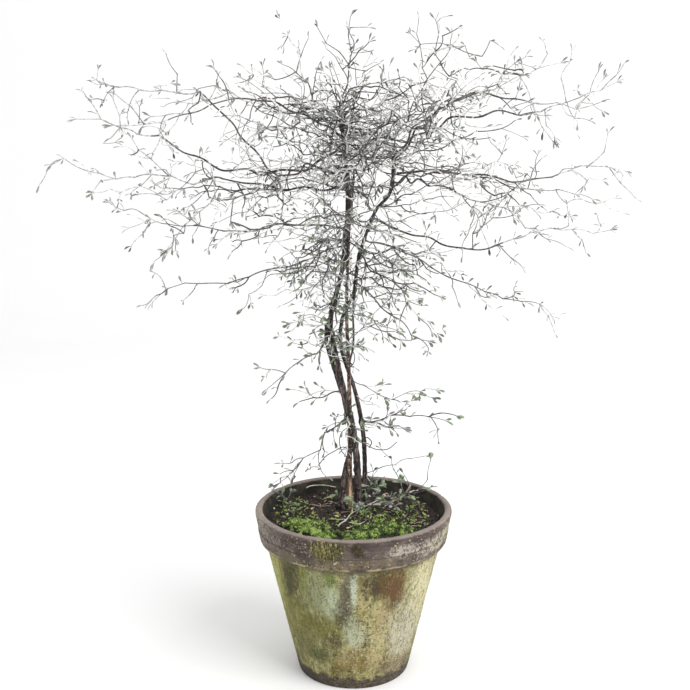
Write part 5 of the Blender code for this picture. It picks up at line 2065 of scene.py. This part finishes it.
print("strands over the lip:", sum(len(strands) for strands in lip_strands.values()))

# %% [markdown]
# What else is in the pot. A few seedlings have come up in the moss, leafy shoots lean over the soil, and
# old twigs and leaves have fallen on it. They are small, but without them the soil would look swept.

# %% Shoots and seedlings in the pot
# Each shoot: where it starts, the way it leans, its number of twigs, and 1 where they are long or 2 where
# short
POT_SHOOTS = (
    ((0.024, 0.016, 0.216), (0.9, -0.1, 0.55), 1, 1), ((0.004, -0.008, 0.216), (0.3, -0.7, 0.45), 1, 1),
    ((0.076, 0.05, 0.215), (-0.1, 0.0, 1.0), 3, 1),
    ((-0.092, 0.052, 0.213), (-0.1, 0.1, 0.5), 3, 2), ((0.02, 0.085, 0.215), (0.4, 0.0, 0.8), 3, 2),
)
POT_LOWEST = 0.2168
STALK_RADII = (0.0005, 0.00045, 0.0004)
SEEDLING_SIZES = (0.0065, 0.0095)
# Suckers at the foot of the stems: the points of each in mm, then the root, angle seen from the front and
# length of each of its big round leaves
SUCKERS = (
    (((10.6, 20, 217.5), (13.2, 28, 229.5), (24.1, 30, 236.6), (36.2, 30, 239.4)),
     (((21.5, 29, 241.2), 172, 14), ((16, 30, 235), 275, 12), ((24.1, 30, 238), -15, 14),
      ((32, 30, 240.5), 15, 13.5), ((16.5, 30, 236.2), 185, 11), ((36.2, 30, 239.4), 60, 11))),
    (((6, -6, 217.5), (3.5, -11, 230), (-0.5, -12, 235), (0, -12, 240.5)),
     (((0, -12, 240.5), 190, 13), ((-1, -12, 235.5), 185, 13.5), ((-0.8, -12, 233), 308, 16),
      ((3, -11.5, 231), -5, 12), ((5, -9, 224), 305, 12))),
    (((16.8, 2, 217.5), (27.5, 4, 226), (40.8, 4, 231.6)),
     (((25.5, 4, 225.3), -10, 12.5), ((40.8, 4, 232), 172, 11), ((40.8, 4, 231.6), 300, 10),
      ((35, 4, 229), 60, 10.5))),
    (((-18, 12, 217.5), (-20.5, 20, 233)), (((-20.5, 20, 233), 195, 13), ((-20, 18, 229), 110, 11))),
)
# Each seedling: where it stands and its height in mm, and its number of leaves
SEEDLINGS = (
    (-6, 6, 12, 4), (4, -10, 11, 4), (12, -18, 9, 3), (81, 34, 14, 4), (90, 20, 11, 3), (-86, 22, 10, 4),
    (-74, 12, 12, 4), (-80, -4, 9, 3), (-64, 34, 8, 3), (60, -12, 8, 4), (-96, 44, 9, 3), (72, 10, 8, 3),
)

pot_growth = Growth("pot", POT_LOWEST)
pot_draw = pot_growth.draw
for start, lean, count, level in POT_SHOOTS:
    for _ in range(count):
        way = Vector(lean) + Vector([pot_draw.uniform(-0.3, 0.3) for _ in range(3)])
        way.z = max(way.z, 0.15)
        pot_growth.twig(Vector(start), UP, level, way.normalized())
for points, leaves in SUCKERS:
    pot_growth.lines.append((in_metres(points), 2))
    for root, angle, length in leaves:
        turn = math.radians(angle)
        way = Vector((math.cos(turn), pot_draw.uniform(-0.3, 0.3), math.sin(turn))).normalized()
        face = Vector((pot_draw.gauss(0, 0.25), -0.7, 0.7))
        pot_growth.leaves.append((Vector(metres(root)), way, face, length / 1000))

seedling_leaves, seedling_stalks = [], []
for *spot, count in SEEDLINGS:
    x, y, height = metres(spot)
    foot = Vector(on_ground(x, y, -0.001))
    top = foot + Vector((pot_draw.uniform(-0.003, 0.003), pot_draw.uniform(-0.003, 0.003), height))
    seedling_stalks.append((as_array([foot, foot.lerp(top, 0.5), top]), np.array(STALK_RADII)))
    turn = any_turn(pot_draw)
    for k in range(count):
        out = (square_to(UP, turn + k * math.tau / count) + UP * 0.35).normalized()
        seedling_leaves.append((top - UP * 0.001, out, UP, pot_draw.uniform(*SEEDLING_SIZES)))

shoot_leaves = joined_leaves("pot_leaves", pot_growth.leaves, pot_draw, 1.6)
shoot_look = leaf_finish("pot_leaf", (0.16, 0.23, 0.125), (0.35, 0.43, 0.28), 0.6)
new_piece("pot_leaves", shoot_leaves, "foliage", [shoot_look, silver_felt])
shoot_strokes = [bowed(line, *FINE_RADII[level], bow_draw) for line, level in pot_growth.lines]
new_piece("pot_twigs", sweep("pot_twigs", shoot_strokes), "foliage", [twig_looks["grey_twigs"]])
seedling_look = mottled("seedling_leaf", (0.12, 0.21, 0.06), (0.24, 0.36, 0.12), 0.5)
seedlings = joined_leaves("seedlings", seedling_leaves, pot_draw, 1.7)
new_piece("seedlings", seedlings, "foliage", [seedling_look, seedling_look])
new_piece("seedling_stalks", sweep("seedling_stalks", seedling_stalks), "foliage", [seedling_look])
print("leaves in the pot:", len(pot_growth.leaves) + len(seedling_leaves))

# %% Fallen twigs
# Each twig: radius and its points in mm, where z is the height over the soil
PALE_FALLEN = (
    (0.9, ((-20, -60, 6), (-10, -45, 8), (-2, -20, 6), (17, 8, 5), (33, 40, 4))),
    (0.7, ((-10, -45, 8), (-20, -40, 6), (-26, -34, 4))),
    (0.7, ((-2, -20, 6), (-1, 10, 10), (-4, 36, 12))),
    (0.7, ((17, 8, 5), (30, 4, 8), (40, 12, 10))),
    (0.6, ((-6, -52, 6), (6, -56, 7), (14, -50, 8))),
    (0.9, ((-66, 90, 12), (-45, 94, 12), (-24, 96, 10))),
)
BROWN_FALLEN = (
    (1.7, ((36, 20, 6), (52, 22, 9), (68, 26, 20), (78, 30, 34))),
    (0.7, ((16, -52, 4), (30, -58, 5), (36, -56, 4))),
    (0.7, ((-60, 30, 2), (-44, 22, 3), (-30, 24, 2))),
)
FALLEN_SAMPLES = 16
FALLEN_REACH = 0.1
FALLEN_LENGTHS = (0.006, 0.014)
SOIL_REACH = 0.112


def lying(points):
    return [Vector(on_ground(*point)) for point in points]


def fallen_piece(name, table, look, extra, draw):
    strokes = []
    for radius, points in table:
        path = smooth_path(lying(map(metres, points)), FALLEN_SAMPLES)
        thick, thin = radius / 1000, radius / 1000 * 0.6
        strokes.append((as_array(path), np.linspace(thick, thin, len(path))))
    for _ in range(extra):
        x, y = on_disc(draw, FALLEN_REACH)
        way, length = any_turn(draw), draw.uniform(*FALLEN_LENGTHS)
        ends = [(x, y, 0.001), (x + math.cos(way) * length, y + math.sin(way) * length, 0.002)]
        if max(math.hypot(px, py) for px, py, _ in ends) < SOIL_REACH:
            strokes.append((as_array(lying(ends)), np.array((0.0005, 0.0004))))
    return new_piece(name, sweep(name, strokes, 2), "soil", [look])


pale_wood = mottled("pale_wood", (0.42, 0.39, 0.33), (0.7, 0.67, 0.61), 0.7, 160.0)
brown_wood = mottled("brown_wood", (0.22, 0.15, 0.11), (0.52, 0.4, 0.31), 0.7, 160.0)
fallen_piece("pale_fallen_twigs", PALE_FALLEN, pale_wood, 16, litter_draw)
fallen_piece("brown_fallen_twigs", BROWN_FALLEN, brown_wood, 40, litter_draw)

# %% Fallen leaves
LEAVES_REACH = 0.106
# Each kind: dark colour, light colour and number
FALLEN_LEAVES = (("straw_leaves", (0.42, 0.33, 0.15), (0.7, 0.58, 0.32), 46),
                 ("yellow_leaves", (0.5, 0.48, 0.14), (0.74, 0.72, 0.34), 34),
                 ("faded_leaves", (0.11, 0.09, 0.06), (0.34, 0.29, 0.22), 44))
for name, dark, light, count in FALLEN_LEAVES:
    lying_leaves = []
    for _ in range(count):
        x, y = on_disc(litter_draw, LEAVES_REACH)
        out = polar(any_turn(litter_draw), 1, litter_draw.uniform(-0.05, 0.35)).normalized()
        face = Vector((litter_draw.gauss(0, 0.4), litter_draw.gauss(0, 0.4), 1.0))
        root = Vector(on_ground(x, y, 0.0016))
        lying_leaves.append((root, out, face, litter_draw.uniform(0.005, 0.0095)))
    look = mottled(name[:-1] + "_look", dark, light, 0.8)
    new_piece(name, joined_leaves(name, lying_leaves, litter_draw, 1.3), "soil", [look, look])
